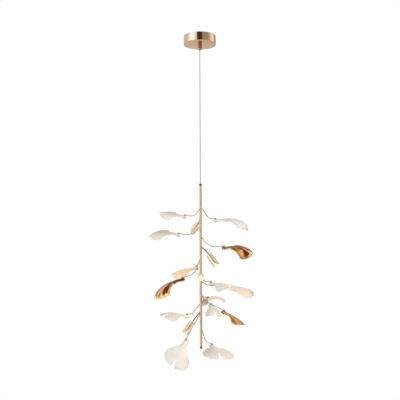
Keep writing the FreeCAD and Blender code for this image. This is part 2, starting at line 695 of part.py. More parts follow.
def leaf_point(leaf, along, across):
    """Point on the middle surface: along runs 0 to 1 from the neck to the edge, across -1 to 1."""
    length = mm("leaf_length") * leaf.length_share
    half_neck = mm("neck_half_width")
    blend = mm("fan_blend")
    edge = length * (1 - CORNER_BACK_SHARE * abs(across) ** 4)
    reach = along * (edge + mm("leaf_behind")) - mm("leaf_behind")
    past = max(0.0, reach - mm("fan_start"))
    fanned = past * past / (2 * blend) if past < blend else past - blend / 2
    spread = math.radians(leaf.spread)
    ray = spread * across
    forward = reach - fanned * (1 - math.cos(ray))
    sideways = across * half_neck + fanned * math.sin(ray)
    half_width = half_neck + (length - mm("fan_start") - blend / 2) * math.sin(spread)
    opened = min(1.0, max(0.0, reach / (OPEN_SHARE * length)))
    opened = opened * opened * (3 - 2 * opened)
    bend = (1 - opened) / mm("neck_radius") + opened * math.radians(leaf.fold) / half_width
    side = math.sin(bend * sideways) / bend
    rise = (math.cos(bend * sideways) - 1) / bend
    twist = math.radians(leaf.twist) * opened
    side, rise = (side * math.cos(twist) - rise * math.sin(twist),
                  side * math.sin(twist) + rise * math.cos(twist))
    if forward <= 0:
        return Vector(forward, side, rise)
    droop = math.radians(leaf.droop)
    x = 0.0
    z = 0.0
    step = forward / SPINE_STEPS
    for index in range(SPINE_STEPS):
        slope = droop * (step * (index + 0.5) / length) ** leaf.curl
        x += step * math.cos(slope)
        z -= step * math.sin(slope)
    slope = droop * (forward / length) ** leaf.curl
    return Vector(x + rise * math.sin(slope), side, z + rise * math.cos(slope))


def leaf_blade(leaf):
    """Solid between two smooth faces, half of the thickness above and below the middle surface."""
    rows = [index / (ROWS_ALONG - 1) for index in range(ROWS_ALONG)]
    columns = [2 * index / (COLUMNS_ACROSS - 1) - 1 for index in range(COLUMNS_ACROSS)]
    small = 1e-3
    faces = []
    for side in (1, -1):
        grid = []
        for along in rows:
            line = []
            for across in columns:
                forward = leaf_point(leaf, along + small, across) - leaf_point(leaf, along - small, across)
                sideways = leaf_point(leaf, along, across + small) - leaf_point(leaf, along, across - small)
                normal = forward.cross(sideways).normalize()
                line.append(leaf_point(leaf, along, across) + normal * (side * mm("leaf_thick") / 2))
            grid.append(line)
        surface = Part.BSplineSurface()
        surface.interpolate(grid)
        faces.append(surface)
    upper, lower = faces
    u0, u1, v0, v1 = upper.bounds()
    x0, x1, y0, y1 = lower.bounds()
    borders = [
        (upper.uIso(u0), lower.uIso(x0)), (upper.uIso(u1), lower.uIso(x1)),
        (upper.vIso(v0), lower.vIso(y0)), (upper.vIso(v1), lower.vIso(y1))]
    skins = [upper.toShape(), lower.toShape()]
    for top, bottom in borders:
        skins.append(top.makeRuledSurface(bottom).toShape())
    shell = Part.makeShell(skins)
    shell.sewShape()
    solid = Part.makeSolid(shell)
    if solid.Volume < 0:
        solid.reverse()
    return solid


def leaf_node(leaf):
    blade = doc.addObject("Part::Feature", "blade_" + leaf.name)
    blade.Shape = leaf_blade(leaf)
    frame = leaf_frame(leaf)
    blade.Placement = frame
    length = size("leaf_length") * leaf.length_share
    half = length * NOTCH_HALF_WIDTH_SHARE
    apex = length * NOTCH_END_SHARE
    beyond = length - apex + size("overrun")
    wedge = primitive("Part::Wedge", "notch_" + leaf.name, {
        "Xmin": -half, "Xmax": half, "Zmin": -length, "Zmax": length,
        "Ymin": ZERO, "Ymax": beyond, "X2min": ZERO, "X2max": ZERO, "Z2min": -length, "Z2max": length})
    wedge.Placement = frame * Placement(Vector((apex + beyond).value, 0, 0), Rotation(Z_AXIS, 90))
    reach = size("leaf_thick") / 2 + size("seat_drop") / 2
    hole = rod("stud_hole_" + leaf.name, size("stud_radius") + size("running_clearance"), reach * 2,
               frame * at_height(-reach))
    node("leaf_" + leaf.name, cut("leaf_cut_" + leaf.name, blade, [wedge, hole]))


def cup_frame(lamp):
    """Frame at a cup's closed end: Z along the cup towards its open end."""
    return arm_frame(lamp.arm) * Placement(Vector(0, 0, 0), Rotation(Y_AXIS, 90))


def lamp_tube(lamp, name, radii, room_radius):
    body = new_body(name + "_body_" + lamp.name)
    arm_pipe(body, name + "_pipe_" + lamp.name, lamp.arm, 0, radii)
    body.Placement = arm_frame(lamp.arm)
    return cut(name + "_cut_" + lamp.name, body, [stem_room(room_radius, name + "_room_" + lamp.name)])


# Lamp cup: a tube with a closed end, a collar on the arm and two vee notches in its open rim
def lamp_cup(lamp):
    outer = size("cup_radius")
    wall = size("cup_wall")
    bore = size("lamp_arm_radius") + size("fixed_clearance")
    rim = size("cup_length")
    frame = cup_frame(lamp)
    body = turned("cup_body_" + lamp.name, [
        (bore, -size("collar_length")), (size("collar_radius"), -size("collar_length")),
        (size("collar_radius"), ZERO), (outer, ZERO), (outer, rim), (outer - wall, rim),
        (outer - wall, wall), (bore, wall)], frame)
    depth = size("notch_depth") + size("overrun")
    mouth = size("notch_half_width") * (depth.value / mm("notch_depth"))
    across = outer + size("overrun")
    wedge = primitive("Part::Wedge", "cup_notch_" + lamp.name, {
        "Xmin": -mouth, "Xmax": mouth, "Zmin": -across, "Zmax": across,
        "Ymin": ZERO, "Ymax": depth, "X2min": ZERO, "X2max": ZERO, "Z2min": -across, "Z2max": across})
    # The wedge narrows along its own Y, which is laid back down the cup from beyond the rim
    wedge.Placement = frame * Placement(Vector(0, 0, (rim + size("overrun")).value), Rotation(X_AXIS, -90))
    return node("lamp_cup_" + lamp.name, cut("cup_cut_" + lamp.name, body, [wedge]))


def bulb_socket(lamp):
    foot = size("cup_wall")
    top = foot + size("socket_length")
    frame = cup_frame(lamp)
    body = turned("socket_body_" + lamp.name, [
        (ZERO, foot), (size("socket_radius"), foot), (size("socket_radius"), top), (ZERO, top)], frame)
    bores = []
    for side in (-1, 1):
        start = top - size("pin_length") - size("seat_clearance")
        place = Vector(0, side * mm("pin_half_spacing"), start.value)
        bores.append(rod("pin_bore", size("pin_radius") + size("running_clearance"),
                         size("pin_length") + size("overrun"), frame * Placement(place, Rotation())))
    return cut("socket_cut_" + lamp.name, body, bores)


def bulb(lamp):
    foot = size("cup_wall") + size("socket_length") + size("seat_clearance")
    frame = cup_frame(lamp)
    waist = foot + size("bulb_base_length")
    tip = foot + size("bulb_length")
    radius = size("bulb_radius")
    corners = [(ZERO, foot), (size("bulb_base_radius"), foot), (size("bulb_base_radius"), waist),
               (radius, waist + radius - size("bulb_base_radius")), (radius, tip - radius)]
    # The tip is rounded in equal turns
    turns = 6
    for step in range(1, turns):
        turn = math.pi / 2 * step / turns
        corners.append((radius * math.cos(turn), tip - radius * (1 - math.sin(turn))))
    corners.append((ZERO, tip))
    glass = turned("bulb_body_" + lamp.name, corners, frame)
    pins = []
    for side in (-1, 1):
        place = Vector(0, side * mm("pin_half_spacing"), (foot - size("pin_length")).value)
        pins.append(rod("bulb_pin", size("pin_radius"), size("pin_length") + size("bulb_base_length") / 2,
                        frame * Placement(place, Rotation())))
    whole = doc.addObject("Part::MultiFuse", "bulb_fuse_" + lamp.name)
    whole.Shapes = [glass] + pins
    return node("bulb_" + lamp.name, whole)


def brace_twigs(arms, tubes):
    pieces = []
    leaves = {leaf.name: leaf for leaf in LEAVES}
    lamps = {lamp.name: lamp for lamp in LAMPS}
    for twig in TWIGS:
        start = arm_point(leaves[twig.leaf].arm, twig.leaf_share)
        span = arm_point(lamps[twig.lamp].arm, twig.lamp_share) - start
        piece = rod("twig_" + twig.leaf, size("twig_radius"), Size(span.Length, repr(span.Length)),
                    Placement(start, Rotation(Z_AXIS, span)))
        inside = primitive("Part::Sphere", "twig_end_" + twig.leaf,
                           {"Radius": size("lamp_arm_radius") + size("fixed_clearance")},
                           Placement(start + span, Rotation()))
        pieces.append(cut("twig_cut_" + twig.leaf, piece, [arms[twig.leaf], tubes[twig.lamp], inside]))
    node("brace_twigs", group("twig_group", pieces))


ceiling_bracket()
canopy_cup()
mounting_nipple()
bracket_locknut()
cable_gland()
swivel_ball()
suspension_cable()
led_driver()
terminal_block()
supply_leads()
stem()
arms = {leaf.name: leaf_arm(leaf) for leaf in LEAVES}
node("leaf_cap_nuts", group("nut_group", [cap_nut(leaf) for leaf in LEAVES]))
for leaf in LEAVES:
    leaf_node(leaf)
tube_radii = [size("lamp_arm_radius"), size("lamp_arm_bore_radius")]
tube_room = size("stem_radius") + size("fixed_clearance")
tubes = {lamp.name: lamp_tube(lamp, "lamp_tube", tube_radii, tube_room) for lamp in LAMPS}
node("lamp_arms", group("lamp_arm_group", list(tubes.values())))
wire_room = size("loom_radius") + size("fixed_clearance")
wires = [lamp_tube(lamp, "lamp_wire", [size("lamp_lead_radius")], wire_room) for lamp in LAMPS]
node("lamp_leads", group("lamp_lead_group", wires))
for lamp in LAMPS:
    lamp_cup(lamp)
node("bulb_sockets", group("socket_group", [bulb_socket(lamp) for lamp in LAMPS]))
for lamp in LAMPS:
    bulb(lamp)
brace_twigs(arms, tubes)
doc.recompute()

faults = []
for item in doc.Objects:
    if "Invalid" in item.State or "Error" in item.State:
        faults.append("%s is %s" % (item.Name, item.State))
for item in NODES:
    shape = item.Shape
    if shape.isNull() or not shape.isValid() or not shape.Solids:
        faults.append("%s has no valid solid" % item.Label)
    elif shape.Volume <= 0:
        faults.append("%s has volume %g" % (item.Label, shape.Volume))
labels = [item.Label for item in NODES]
if len(set(labels)) != len(labels):
    faults.append("two sub-parts share a label")
if faults:
    raise RuntimeError("; ".join(faults))

os.makedirs("parts", exist_ok=True)
for item in NODES:
    item.Shape.exportStep("parts/%s.step" % item.Label)
    print("%-20s %2d solids %10.1f mm3" % (item.Label, len(item.Shape.Solids), item.Shape.Volume))
print("%d sub-parts" % len(NODES))
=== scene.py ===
"""Pendant light with fan-shaped porcelain leaves: its finished pieces over the construction model."""
import json
from collections import namedtuple
from functools import cache
from math import acos, copysign, cos, exp, hypot, pi, radians, sin, sqrt

import bpy
import bmesh
from mathutils import Matrix, Vector

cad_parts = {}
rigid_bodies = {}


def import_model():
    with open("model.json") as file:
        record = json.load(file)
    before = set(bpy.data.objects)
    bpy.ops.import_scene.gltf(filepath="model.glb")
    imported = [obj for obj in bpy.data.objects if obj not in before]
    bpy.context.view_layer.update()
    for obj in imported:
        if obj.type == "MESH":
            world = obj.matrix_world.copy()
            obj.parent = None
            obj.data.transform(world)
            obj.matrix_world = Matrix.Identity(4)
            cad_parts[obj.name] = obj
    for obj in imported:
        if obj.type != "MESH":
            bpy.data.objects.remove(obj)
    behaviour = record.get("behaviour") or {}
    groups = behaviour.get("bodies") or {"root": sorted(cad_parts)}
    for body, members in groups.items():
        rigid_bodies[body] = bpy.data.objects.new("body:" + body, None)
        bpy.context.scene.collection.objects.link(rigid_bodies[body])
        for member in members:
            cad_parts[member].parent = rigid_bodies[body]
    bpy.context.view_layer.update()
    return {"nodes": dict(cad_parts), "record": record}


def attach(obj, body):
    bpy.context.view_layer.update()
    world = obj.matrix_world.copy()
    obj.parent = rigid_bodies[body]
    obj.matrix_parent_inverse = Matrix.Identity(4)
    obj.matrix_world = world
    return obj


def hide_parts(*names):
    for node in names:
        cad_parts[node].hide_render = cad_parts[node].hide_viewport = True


for leftover in list(bpy.data.objects):
    bpy.data.objects.remove(leftover)
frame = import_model()

bl_info = {
    "name": "Leaf Pendant Light",
    "version": (1, 0, 0),
    "blender": (4, 5, 0),
    "location": "View3D > Sidebar > Pendant",
    "description": "Builds the finished pieces of a pendant light with porcelain leaves and small lamps",
    "category": "Add Mesh",
}

MM = 0.001

# Heights in the light, ceiling at zero
CANOPY_FOOT = -31.0 * MM
GLAND_FOOT = -50.0 * MM
STEM_TOP = -550.0 * MM
STEM_FOOT = -1140.0 * MM
STEM_LENGTH = STEM_TOP - STEM_FOOT
# Sizes that more than one piece follows
ARM_UNIT = 100.0 * MM
THREAD_HOLE = 5.05 * MM
CUP_WALL = 1.0 * MM
CUP_RIM_BAND = 20.0 * MM

# Branches: azimuth, height share down the stem, steep, run in, bend and run out shares, pitch
Arm = namedtuple("Arm", "azimuth height steep run_in bend run_out pitch")
# Leaves: arm, roll, yaw, length share, spread, fold, droop, curl, twist and whether gold
Leaf = namedtuple("Leaf", "name arm roll yaw length spread fold droop curl twist gold", defaults=[False])
LEAVES = [
    Leaf("01", Arm(-4, 0.139, 56, 0.43, 0.22, 0.10, -4), 0, 0, 1.16, 34, 54, 104, 3, 10),
    Leaf("02", Arm(184, 0.144, 60, 0.22, 0.26, 0.18, -12), 0, 0, 0.77, 42, 46, 34, 3, -24),
    Leaf("03", Arm(176, 0.254, 58, 0.12, 0.52, 0.16, -15), 0, 5, 0.92, 40, 36, 70, 2, -20),
    Leaf("04", Arm(-6, 0.317, 58, 0.18, 0.56, 0.20, -6), 16, -4, 0.96, 42, 66, 64, 2, 8, True),
    Leaf("05", Arm(116, 0.444, 62, 0.26, 0.16, 0.15, 20), 0, 56, 0.81, 44, 66, 28, 2, 4),
    Leaf("06", Arm(184, 0.447, 71, 0.45, 0.42, 0.22, 12), -5, 14, 1.10, 40, 60, 68, 2, 0, True),
    Leaf("07", Arm(-20, 0.583, 30, 0.14, 0.20, 0.16, -2), 12, -25, 0.80, 40, 60, 12, 2, 0),
    Leaf("08", Arm(14, 0.597, 28, 0.20, 0.60, 0.42, 2), 20, 0, 0.95, 40, 50, 22, 2, 0),
    Leaf("09", Arm(35, 0.674, 40, 0.12, 0.18, 0.09, -6), 14, 4, 0.62, 40, 50, 30, 2, 0),
    Leaf("10", Arm(-35, 0.678, 52, 0.24, 0.26, 0.16, 12), 0, -43, 0.78, 34, 100, 36, 2, 0),
    Leaf("11", Arm(10, 0.683, 46, 0.20, 0.90, 0.48, 24), -8, 10, 0.76, 38, 60, 26, 2, 0, True),
    Leaf("12", Arm(186, 0.725, 52, 0.40, 0.24, 0.02, -12), 0, 26, 0.83, 38, 44, 36, 2, -10),
    Leaf("13", Arm(172, 0.783, 60, 0.72, 0.60, 0.38, 62), -76, -1, 0.92, 42, 22, 10, 2, 0),
    Leaf("14", Arm(-20, 0.868, 72, 0.43, 0.26, 0.08, 10), 0, -52, 0.97, 44, 26, 42, 2, 4),
]
LAMPS = {
    "1": Arm(118, 0.190, 66, 0.26, 0.16, 0.06, 30),
    "2": Arm(-15, 0.386, 36, 0.20, 0.20, 0.16, 54),
    "3": Arm(-90, 0.544, 45, 0.12, 0.12, 0.07, 6),
    "4": Arm(76, 0.708, 45, 0.12, 0.12, 0.05, 0),
    "5": Arm(195, 0.776, 48, 0.26, 0.20, 0.22, 54),
}
# Twigs: leaf arm and share along it, lamp arm and share along it
TWIGS = [
    ("04", 0.62, "2", 0.80),
    ("06", 0.56, "3", 0.34),
    ("07", 0.50, "3", 0.62),
    ("09", 0.60, "4", 0.70),
    ("12", 0.72, "5", 0.62),
]

# Painted lamp glow on the leaves (above zero) and painted shade (below): along, across, reach and strength
PAINTED_LIGHT_TABLE = {
    "01": [(0.62, 0.1, 0.16, 0.9), (0.9, -0.5, 0.25, 0.5), (0.5, 0.5, 0.4, -0.6), (0.5, 0.0, 2.0, -0.3)],
    "02": [(0.8, 0.6, 0.3, 0.7), (0.5, -0.8, 0.5, -0.8), (0.5, 0.0, 2.0, -0.5)],
    "03": [(0.95, 0.4, 0.3, 1.4), (0.3, 0.0, 0.2, 0.4), (0.5, -0.6, 0.6, -0.9), (0.5, 0.0, 2.0, -0.45)],
    "05": [(0.4, 0.0, 1.0, 1.0)],
    "07": [(0.05, 0.0, 0.2, 0.6), (0.75, 0.15, 0.25, 1.0), (0.85, 0.9, 0.3, 1.0)],
    "08": [(0.75, -0.5, 0.3, 0.9), (0.3, -0.3, 0.3, 0.3), (1.0, -0.2, 0.18, -1.8)],
    "09": [(0.4, 0.0, 0.6, 0.9)],
    "11": [(0.6, 0.0, 0.6, 0.7)],
    "12": [(0.1, 0.0, 0.35, 1.3), (0.6, 0.0, 0.3, 0.4)],
    "13": [(0.0, 0.0, 0.25, 0.9), (0.7, 0.6, 0.3, 0.2)],
    "14": [(0.5, 0.4, 0.6, 0.6), (0.6, -0.7, 0.5, -0.8)],
}
# Weight of a step across a leaf against one along it, in the reach of these places
ACROSS_WEIGHT = 0.6

# A leaf's neck: its reach behind the stud, half width and roll, and where its fan opens
BEHIND_STUD = 7.0 * MM
HALF_NECK = 12.0 * MM
NECK_RADIUS = 7.0 * MM
FAN_START = 14.0 * MM
FAN_BLEND = 20.0 * MM
LEAF_DROP = 4.0 * MM
# Shares of a leaf's length
OPEN_SHARE = 0.42
CORNER_BACK_SHARE = 0.25
CORNER_POWER = 4
NOTCH_END_SHARE = 0.68
NOTCH_HALF_WIDTH_SHARE = 0.07
SPINE_STEPS = 16
# A leaf's sheet: rows from neck to rim, rows below the notch, columns, and columns to a rib
PETAL_ROWS = 46
PETAL_ROWS_WHOLE = 32
PETAL_ROW = 2.0 / PETAL_ROWS
PETAL_COLUMNS = 56
COLUMNS_PER_RIB = 2
# Ribs and waves: turn over half a leaf, and how fast they grow towards the rim
RIB_TURN = pi * PETAL_COLUMNS / (2 * COLUMNS_PER_RIB)
RIB_POWER = 2
RIM_TURN = 7.5
RIM_POWER = 4

# Mesh settings: distance that merges points, sharp edge and step of a bend in degrees
MERGE = 1e-7
SHARP = 40
BEND_STEP = 6


def length(name, description, default):
    return bpy.props.FloatProperty(name=name, description=description, default=default, min=0.0,
                                   precision=4, unit="LENGTH", subtype="DISTANCE")


def colour(name, description, red, green, blue):
    """A colour given as it looks on a screen, kept as the linear values that a shader takes."""
    linear = [((c + 0.055) / 1.055) ** 2.4 if c > 0.04045 else c / 12.92 for c in (red, green, blue)]
    return bpy.props.FloatVectorProperty(name=name, description=description, default=linear, size=3,
                                         min=0.0, max=1.0, subtype="COLOR")


class PendantSizes(bpy.types.PropertyGroup):
    canopy_radius: length("Canopy radius", "Outer radius of the ceiling canopy", 60 * MM)
    canopy_wall: length("Canopy wall", "Thickness of the spun canopy", 1.5 * MM)
    gland_radius: length("Gland radius", "Outer radius of the cable gland", 8.2 * MM)
    cable_diameter: length("Cable diameter", "Clear sheathed suspension cable", 3 * MM)
    stem_radius: length("Stem radius", "Outer radius of the stem", 4.6 * MM)
    cap_height: length("Stem cap height", "Dark caps at the stem's ends", 8 * MM)
    wire_radius: length("Leaf arm radius", "Bent wire that carries a leaf", 1.5 * MM)
    lamp_arm_radius: length("Lamp arm radius", "Bent tube that carries a lamp", 2 * MM)
    twig_radius: length("Twig radius", "Thin brace between two branches", 0.9 * MM)
    seat_radius: length("Seat radius", "Turned seat above a leaf's neck", 4 * MM)
    nut_radius: length("Cap nut radius", "Cap nut under a leaf's neck", 3.2 * MM)
    leaf_length: length("Leaf length", "Stud to rim of a leaf of share one", 120 * MM)
    leaf_thick: length("Leaf thickness", "Porcelain of a leaf", 2.4 * MM)
    rib_height: length("Leaf rib height", "Rise of the fine ribs at a leaf's rim", 0.08 * MM)
    rim_wave: length("Leaf rim wave", "Soft waves along a leaf's rim", 1.1 * MM)
    shade_radius: length("Lamp cup radius", "Outer radius of a lamp cup", 11.5 * MM)
    shade_length: length("Lamp cup length", "Length of a lamp cup", 50 * MM)
    bulb_radius: length("Bulb radius", "Glass of the small two-pin bulb", 5.5 * MM)


class PendantColours(bpy.types.PropertyGroup):
    champagne: colour("Champagne gold", "Polished plating of the canopy", 0.78, 0.64, 0.49)
    stem_gold: colour("Stem gold", "Satin plating of the stem", 0.91, 0.76, 0.61)
    bronze: colour("Dark bronze", "Caps and nuts", 0.54, 0.44, 0.36)
    lamp_gold: colour("Lamp gold", "Polished lamp cups", 0.95, 0.84, 0.71)
    lustre: colour("Gold lustre", "Mirror gold leaves", 0.98, 0.72, 0.42)
    # Painted dark reflection: dark brown laid in streaks into the gold's colour
    painted_dark_reflection: colour("Burnt gold", "Dark streaks in the gold leaves", 0.36, 0.18, 0.06)
    porcelain: colour("Porcelain", "White leaves", 0.93, 0.91, 0.88)
    porcelain_vein: colour("Porcelain vein", "Veins and rims of the white leaves", 0.78, 0.70, 0.62)
    # Painted lamp glow: peach laid on the white leaves where lamp light passes through them, and shining from
    # them
    painted_lamp_glow: colour("Warm clay", "Thin places in the white leaves that the lamps warm", 0.95, 0.82, 0.67)
    # Painted shade: grey laid on the white leaves where they lie in shade
    painted_shade_clay: colour("Thick clay", "Thick places in the white leaves", 0.75, 0.69, 0.63)
    arm_grey: colour("Arm grey", "Satin wire of the leaf arms", 0.74, 0.64, 0.55)
    cable: colour("Cable", "Clear sheath over the steel strand", 0.56, 0.56, 0.57)
    zinc: colour("Zinc", "Plated steel parts inside the canopy", 0.66, 0.66, 0.65)
    ceramic: colour("Socket ceramic", "Unglazed lamp sockets", 0.90, 0.89, 0.85)
    glow: colour("Lamp glow", "Light of the small bulbs", 1.0, 0.96, 0.86)


# ---------------- shaping

def clear_selection():
    bpy.ops.object.select_all(action="DESELECT")


def only(piece):
    clear_selection()
    piece.select_set(True)
    bpy.context.view_layer.objects.active = piece


def named(piece, name):
    piece.name = name
    piece.data.name = name
    return piece


def bake(piece, matrix=Matrix.Identity(4)):
    """Moves a piece into place and writes the place into its mesh."""
    only(piece)
    piece.matrix_world = matrix @ piece.matrix_world
    bpy.ops.object.transform_apply(location=True, rotation=True, scale=True)
    return piece


def begin_edit(piece):
    only(piece)
    bpy.ops.object.mode_set(mode="EDIT")
    bpy.ops.mesh.select_all(action="SELECT")


def end_edit(merge=0.0):
    bpy.ops.mesh.select_all(action="SELECT")
    if merge:
        bpy.ops.mesh.remove_doubles(threshold=merge)
    bpy.ops.mesh.normals_make_consistent(inside=False)
    bpy.ops.object.mode_set(mode="OBJECT")


def apply_modifier(piece, kind, **settings):
    only(piece)
    modifier = piece.modifiers.new(kind.lower(), kind)
    for key, value in settings.items():
        setattr(modifier, key, value)
    bpy.ops.object.modifier_apply(modifier=modifier.name)


def soften(piece, width, angle=SHARP):
    """Rounds the sharp edges and smooths the rest."""
    only(piece)
    bpy.ops.object.shade_smooth()
    apply_modifier(piece, "BEVEL", width=width, segments=2, limit_method="ANGLE",
                   angle_limit=radians(angle), harden_normals=True)


def smooth(piece, angle=SHARP):
    only(piece)
    bpy.ops.object.shade_smooth_by_angle(angle=radians(angle))


def turned(name, profile, sides=48, hollow=False):
    """Draws a round piece ring by ring along its profile of radius and height."""
    clear_selection()
    radius, height = profile[0]
    bpy.ops.mesh.primitive_circle_add(vertices=sides, radius=radius, location=(0, 0, height),
                                      fill_type="NOTHING" if hollow else "NGON")
    piece = named(bpy.context.object, name)
    bake(piece)
    begin_edit(piece)
    rings = list(profile[1:]) + (list(profile[:1]) if hollow else [])
    for next_radius, next_height in rings:
        rise = (0, 0, next_height - height)
        bpy.ops.mesh.extrude_region_move(TRANSFORM_OT_translate={"value": rise})
        share = next_radius / radius
        bpy.ops.transform.resize(value=(share, share, 1), center_override=(0, 0, 0))
        radius, height = next_radius, next_height
    end_edit(merge=MERGE)
    return piece


def copied(piece, name, matrix):
    only(piece)
    bpy.ops.object.duplicate(linked=False)
    return bake(named(bpy.context.object, name), matrix)


def joined(pieces, name):
    clear_selection()
    for piece in pieces:
        piece.select_set(True)
    bpy.context.view_layer.objects.active = pieces[0]
    bpy.ops.object.join()
    return named(bpy.context.object, name)


def discard(piece):
    only(piece)
    bpy.ops.object.delete()


def finished(piece, body, slot, *nodes, look=None):
    """Gives a piece its finish, its body and the construction nodes that it stands for."""
    piece.data.materials.clear()
    piece.data.materials.append(finish_named(look or slot))
    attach(piece, body)
    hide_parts(*nodes)
    return piece


# ---------------- places on the branches

def turn_about(axis, degrees):
    return Matrix.Rotation(radians(degrees), 4, axis)


def arm_point(arm, share):
    """Point on an arm's centre line at a share of its length from the stem's axis."""
    run_in, bend, run_out = arm.run_in * ARM_UNIT, arm.bend * ARM_UNIT, arm.run_out * ARM_UNIT
    side = 1 if arm.steep >= arm.pitch else -1
    steep = radians(arm.steep)
    turn = radians(abs(arm.steep - arm.pitch))
    left = (run_in + bend * turn + run_out) * share
    first = min(left, run_in)
    left -= first
    turned_by = min(left / bend, turn)
    left -= bend * turned_by
    slope = steep - side * turned_by
    out = first * cos(steep) + left * cos(slope)
    out += side * bend * (sin(steep) - sin(slope))
    drop = first * sin(steep) + left * sin(slope)
    drop += side * bend * (cos(slope) - cos(steep))
    azimuth = radians(arm.azimuth)
    height = STEM_TOP - STEM_LENGTH * arm.height - drop
    return Vector((out * cos(azimuth), out * sin(azimuth), height))


def arm_frame(arm, roll=0):
    """Frame at an arm's end: X along the arm, Z up and square to it."""
    turn = turn_about("Z", arm.azimuth) @ turn_about("Y", arm.pitch) @ turn_about("X", roll)
    return Matrix.Translation(arm_point(arm, 1)) @ turn


def cup_frame(arm):
    """Frame at a lamp cup's closed end: Z along the cup towards its open end."""
    return arm_frame(arm) @ turn_about("Y", 90)


def bent_wire(name, arm, radius, start):
    """A wire drawn from the stem along its first run, its bend and its last run."""
    steep = radians(arm.steep)
    pitch = radians(arm.pitch)
    root = Vector((0, 0, STEM_TOP - STEM_LENGTH * arm.height))
    along = Vector((cos(steep), 0, -sin(steep)))
    bend = arm.bend * ARM_UNIT
    run_in = arm.run_in * ARM_UNIT
    side = 1 if arm.steep >= arm.pitch else -1
    clear_selection()
    bpy.ops.mesh.primitive_circle_add(vertices=16, radius=radius, fill_type="NGON",
                                      location=root + along * start, rotation=(0, pi / 2 + steep, 0))
    piece = bake(named(bpy.context.object, name))
    begin_edit(piece)
    bpy.ops.mesh.extrude_region_move(TRANSFORM_OT_translate={"value": along * (run_in - start)})
    centre = root + along * run_in + Vector((sin(steep), 0, cos(steep))) * bend * side
    turn = steep - pitch
    steps = max(3, round(abs(turn) / radians(BEND_STEP)))
    bpy.ops.mesh.spin(steps=steps, angle=turn, center=centre, axis=(0, 1, 0))
    out = Vector((cos(pitch), 0, -sin(pitch)))
    bpy.ops.mesh.extrude_region_move(TRANSFORM_OT_translate={"value": out * arm.run_out * ARM_UNIT})
    end_edit(merge=MERGE)
    smooth(piece)
    return bake(piece, turn_about("Z", arm.azimuth))


def leaf_frame(leaf):
    """Frame in a leaf's middle at the stud: X from its neck to its rim."""
    return arm_frame(leaf.arm, leaf.roll) @ Matrix.Translation((0, 0, -LEAF_DROP)) @ turn_about("Z", leaf.yaw)


def leaf_point(leaf, sizes, along, across):
    """Point on a leaf's middle surface: along runs 0 to 1 from neck to rim, across -1 to 1."""
    whole = sizes.leaf_length * leaf.length
    edge = whole * (1 - CORNER_BACK_SHARE * abs(across) ** CORNER_POWER)
    reach = along * (edge + BEHIND_STUD) - BEHIND_STUD
    past = max(0.0, reach - FAN_START)
    fanned = past * past / (2 * FAN_BLEND) if past < FAN_BLEND else past - FAN_BLEND / 2
    spread = radians(leaf.spread)
    ray = spread * across
    forward = reach - fanned * (1 - cos(ray))
    sideways = across * HALF_NECK + fanned * sin(ray)
    half_width = HALF_NECK + (whole - FAN_START - FAN_BLEND / 2) * sin(spread)
    opened = min(1.0, max(0.0, reach / (OPEN_SHARE * whole)))
    opened = opened * opened * (3 - 2 * opened)
    bend = (1 - opened) / NECK_RADIUS + opened * radians(leaf.fold) / half_width
    side = sin(bend * sideways) / bend
    rise = (cos(bend * sideways) - 1) / bend
    twist = radians(leaf.twist) * opened
    side, rise = (side * cos(twist) - rise * sin(twist),
                  side * sin(twist) + rise * cos(twist))
    if forward <= 0:
        return Vector((forward, side, rise))
    droop = radians(leaf.droop)
    x = z = 0.0
    step = forward / SPINE_STEPS
    for index in range(SPINE_STEPS):
        slope = droop * (step * (index + 0.5) / whole) ** leaf.curl
        x += step * cos(slope)
        z -= step * sin(slope)
    slope = droop * (forward / whole) ** leaf.curl
    return Vector((x + rise * sin(slope), side, z + rise * cos(slope)))


def notch_across(leaf, sizes, along):
    """Half of the notch's width at a row, as a share of the row."""
    whole = sizes.leaf_length * leaf.length
    reach = along * (whole + BEHIND_STUD) - BEHIND_STUD
    opening = max(0.0, reach / whole - NOTCH_END_SHARE) / (1 - NOTCH_END_SHARE)
    row_half = HALF_NECK + (reach - FAN_START - FAN_BLEND / 2) * radians(leaf.spread)
    return opening * NOTCH_HALF_WIDTH_SHARE * whole / row_half


def leaf_normal(leaf, sizes, along, across):
    small = 1e-3
    ahead, behind = (leaf_point(leaf, sizes, along + by, across) for by in (small, -small))
    left, right = (leaf_point(leaf, sizes, along, across + by) for by in (small, -small))
    return (ahead - behind).cross(left - right).normalized()


# ---------------- finishes

BLACK = (0.0, 0.0, 0.0, 1.0)
WHITE = (1.0, 1.0, 1.0, 1.0)
WHITE_PLASTIC = (0.74, 0.74, 0.71)
WIRE_PLASTIC = (0.09, 0.07, 0.06)
VEINS = 28.0
MARK_DEPTH = 0.1 * MM
CRINKLE_DEPTH = 3.0 * MM


def feed(tree, socket, value):
    """Sets a socket to a value, or links another node's output to it."""
    if isinstance(value, bpy.types.NodeSocket):
        tree.links.new(value, socket)
    else:
        socket.default_value = value


def fill(tree, sockets, values):
    """Feeds sockets by their names, in which an underscore stands for a space."""
    for label, value in values.items():
        feed(tree, sockets[label.replace("_", " ")], value)


def node(tree, kind, **values):
    made = tree.nodes.new("ShaderNode" + kind)
    fill(tree, made.inputs, values)
    return made


def math_node(tree, operation, *values):
    made = tree.nodes.new("ShaderNodeMath")
    made.operation = operation
    for socket, value in zip(made.inputs, values):
        feed(tree, socket, value)
    return made.outputs[0]


def ranged(tree, value, low, high, to_low=0.0, to_high=1.0):
    """Value carried from one range to another, clamped."""
    made = node(tree, "MapRange", Value=value, From_Min=low, From_Max=high, To_Min=to_low, To_Max=to_high)
    return made.outputs["Result"]


def mixed(tree, share, first, second):
    made = tree.nodes.new("ShaderNodeMix")
    made.data_type = "RGBA"
    for index, value in ((0, share), (6, first), (7, second)):
        feed(tree, made.inputs[index], value)
    return made.outputs[2]


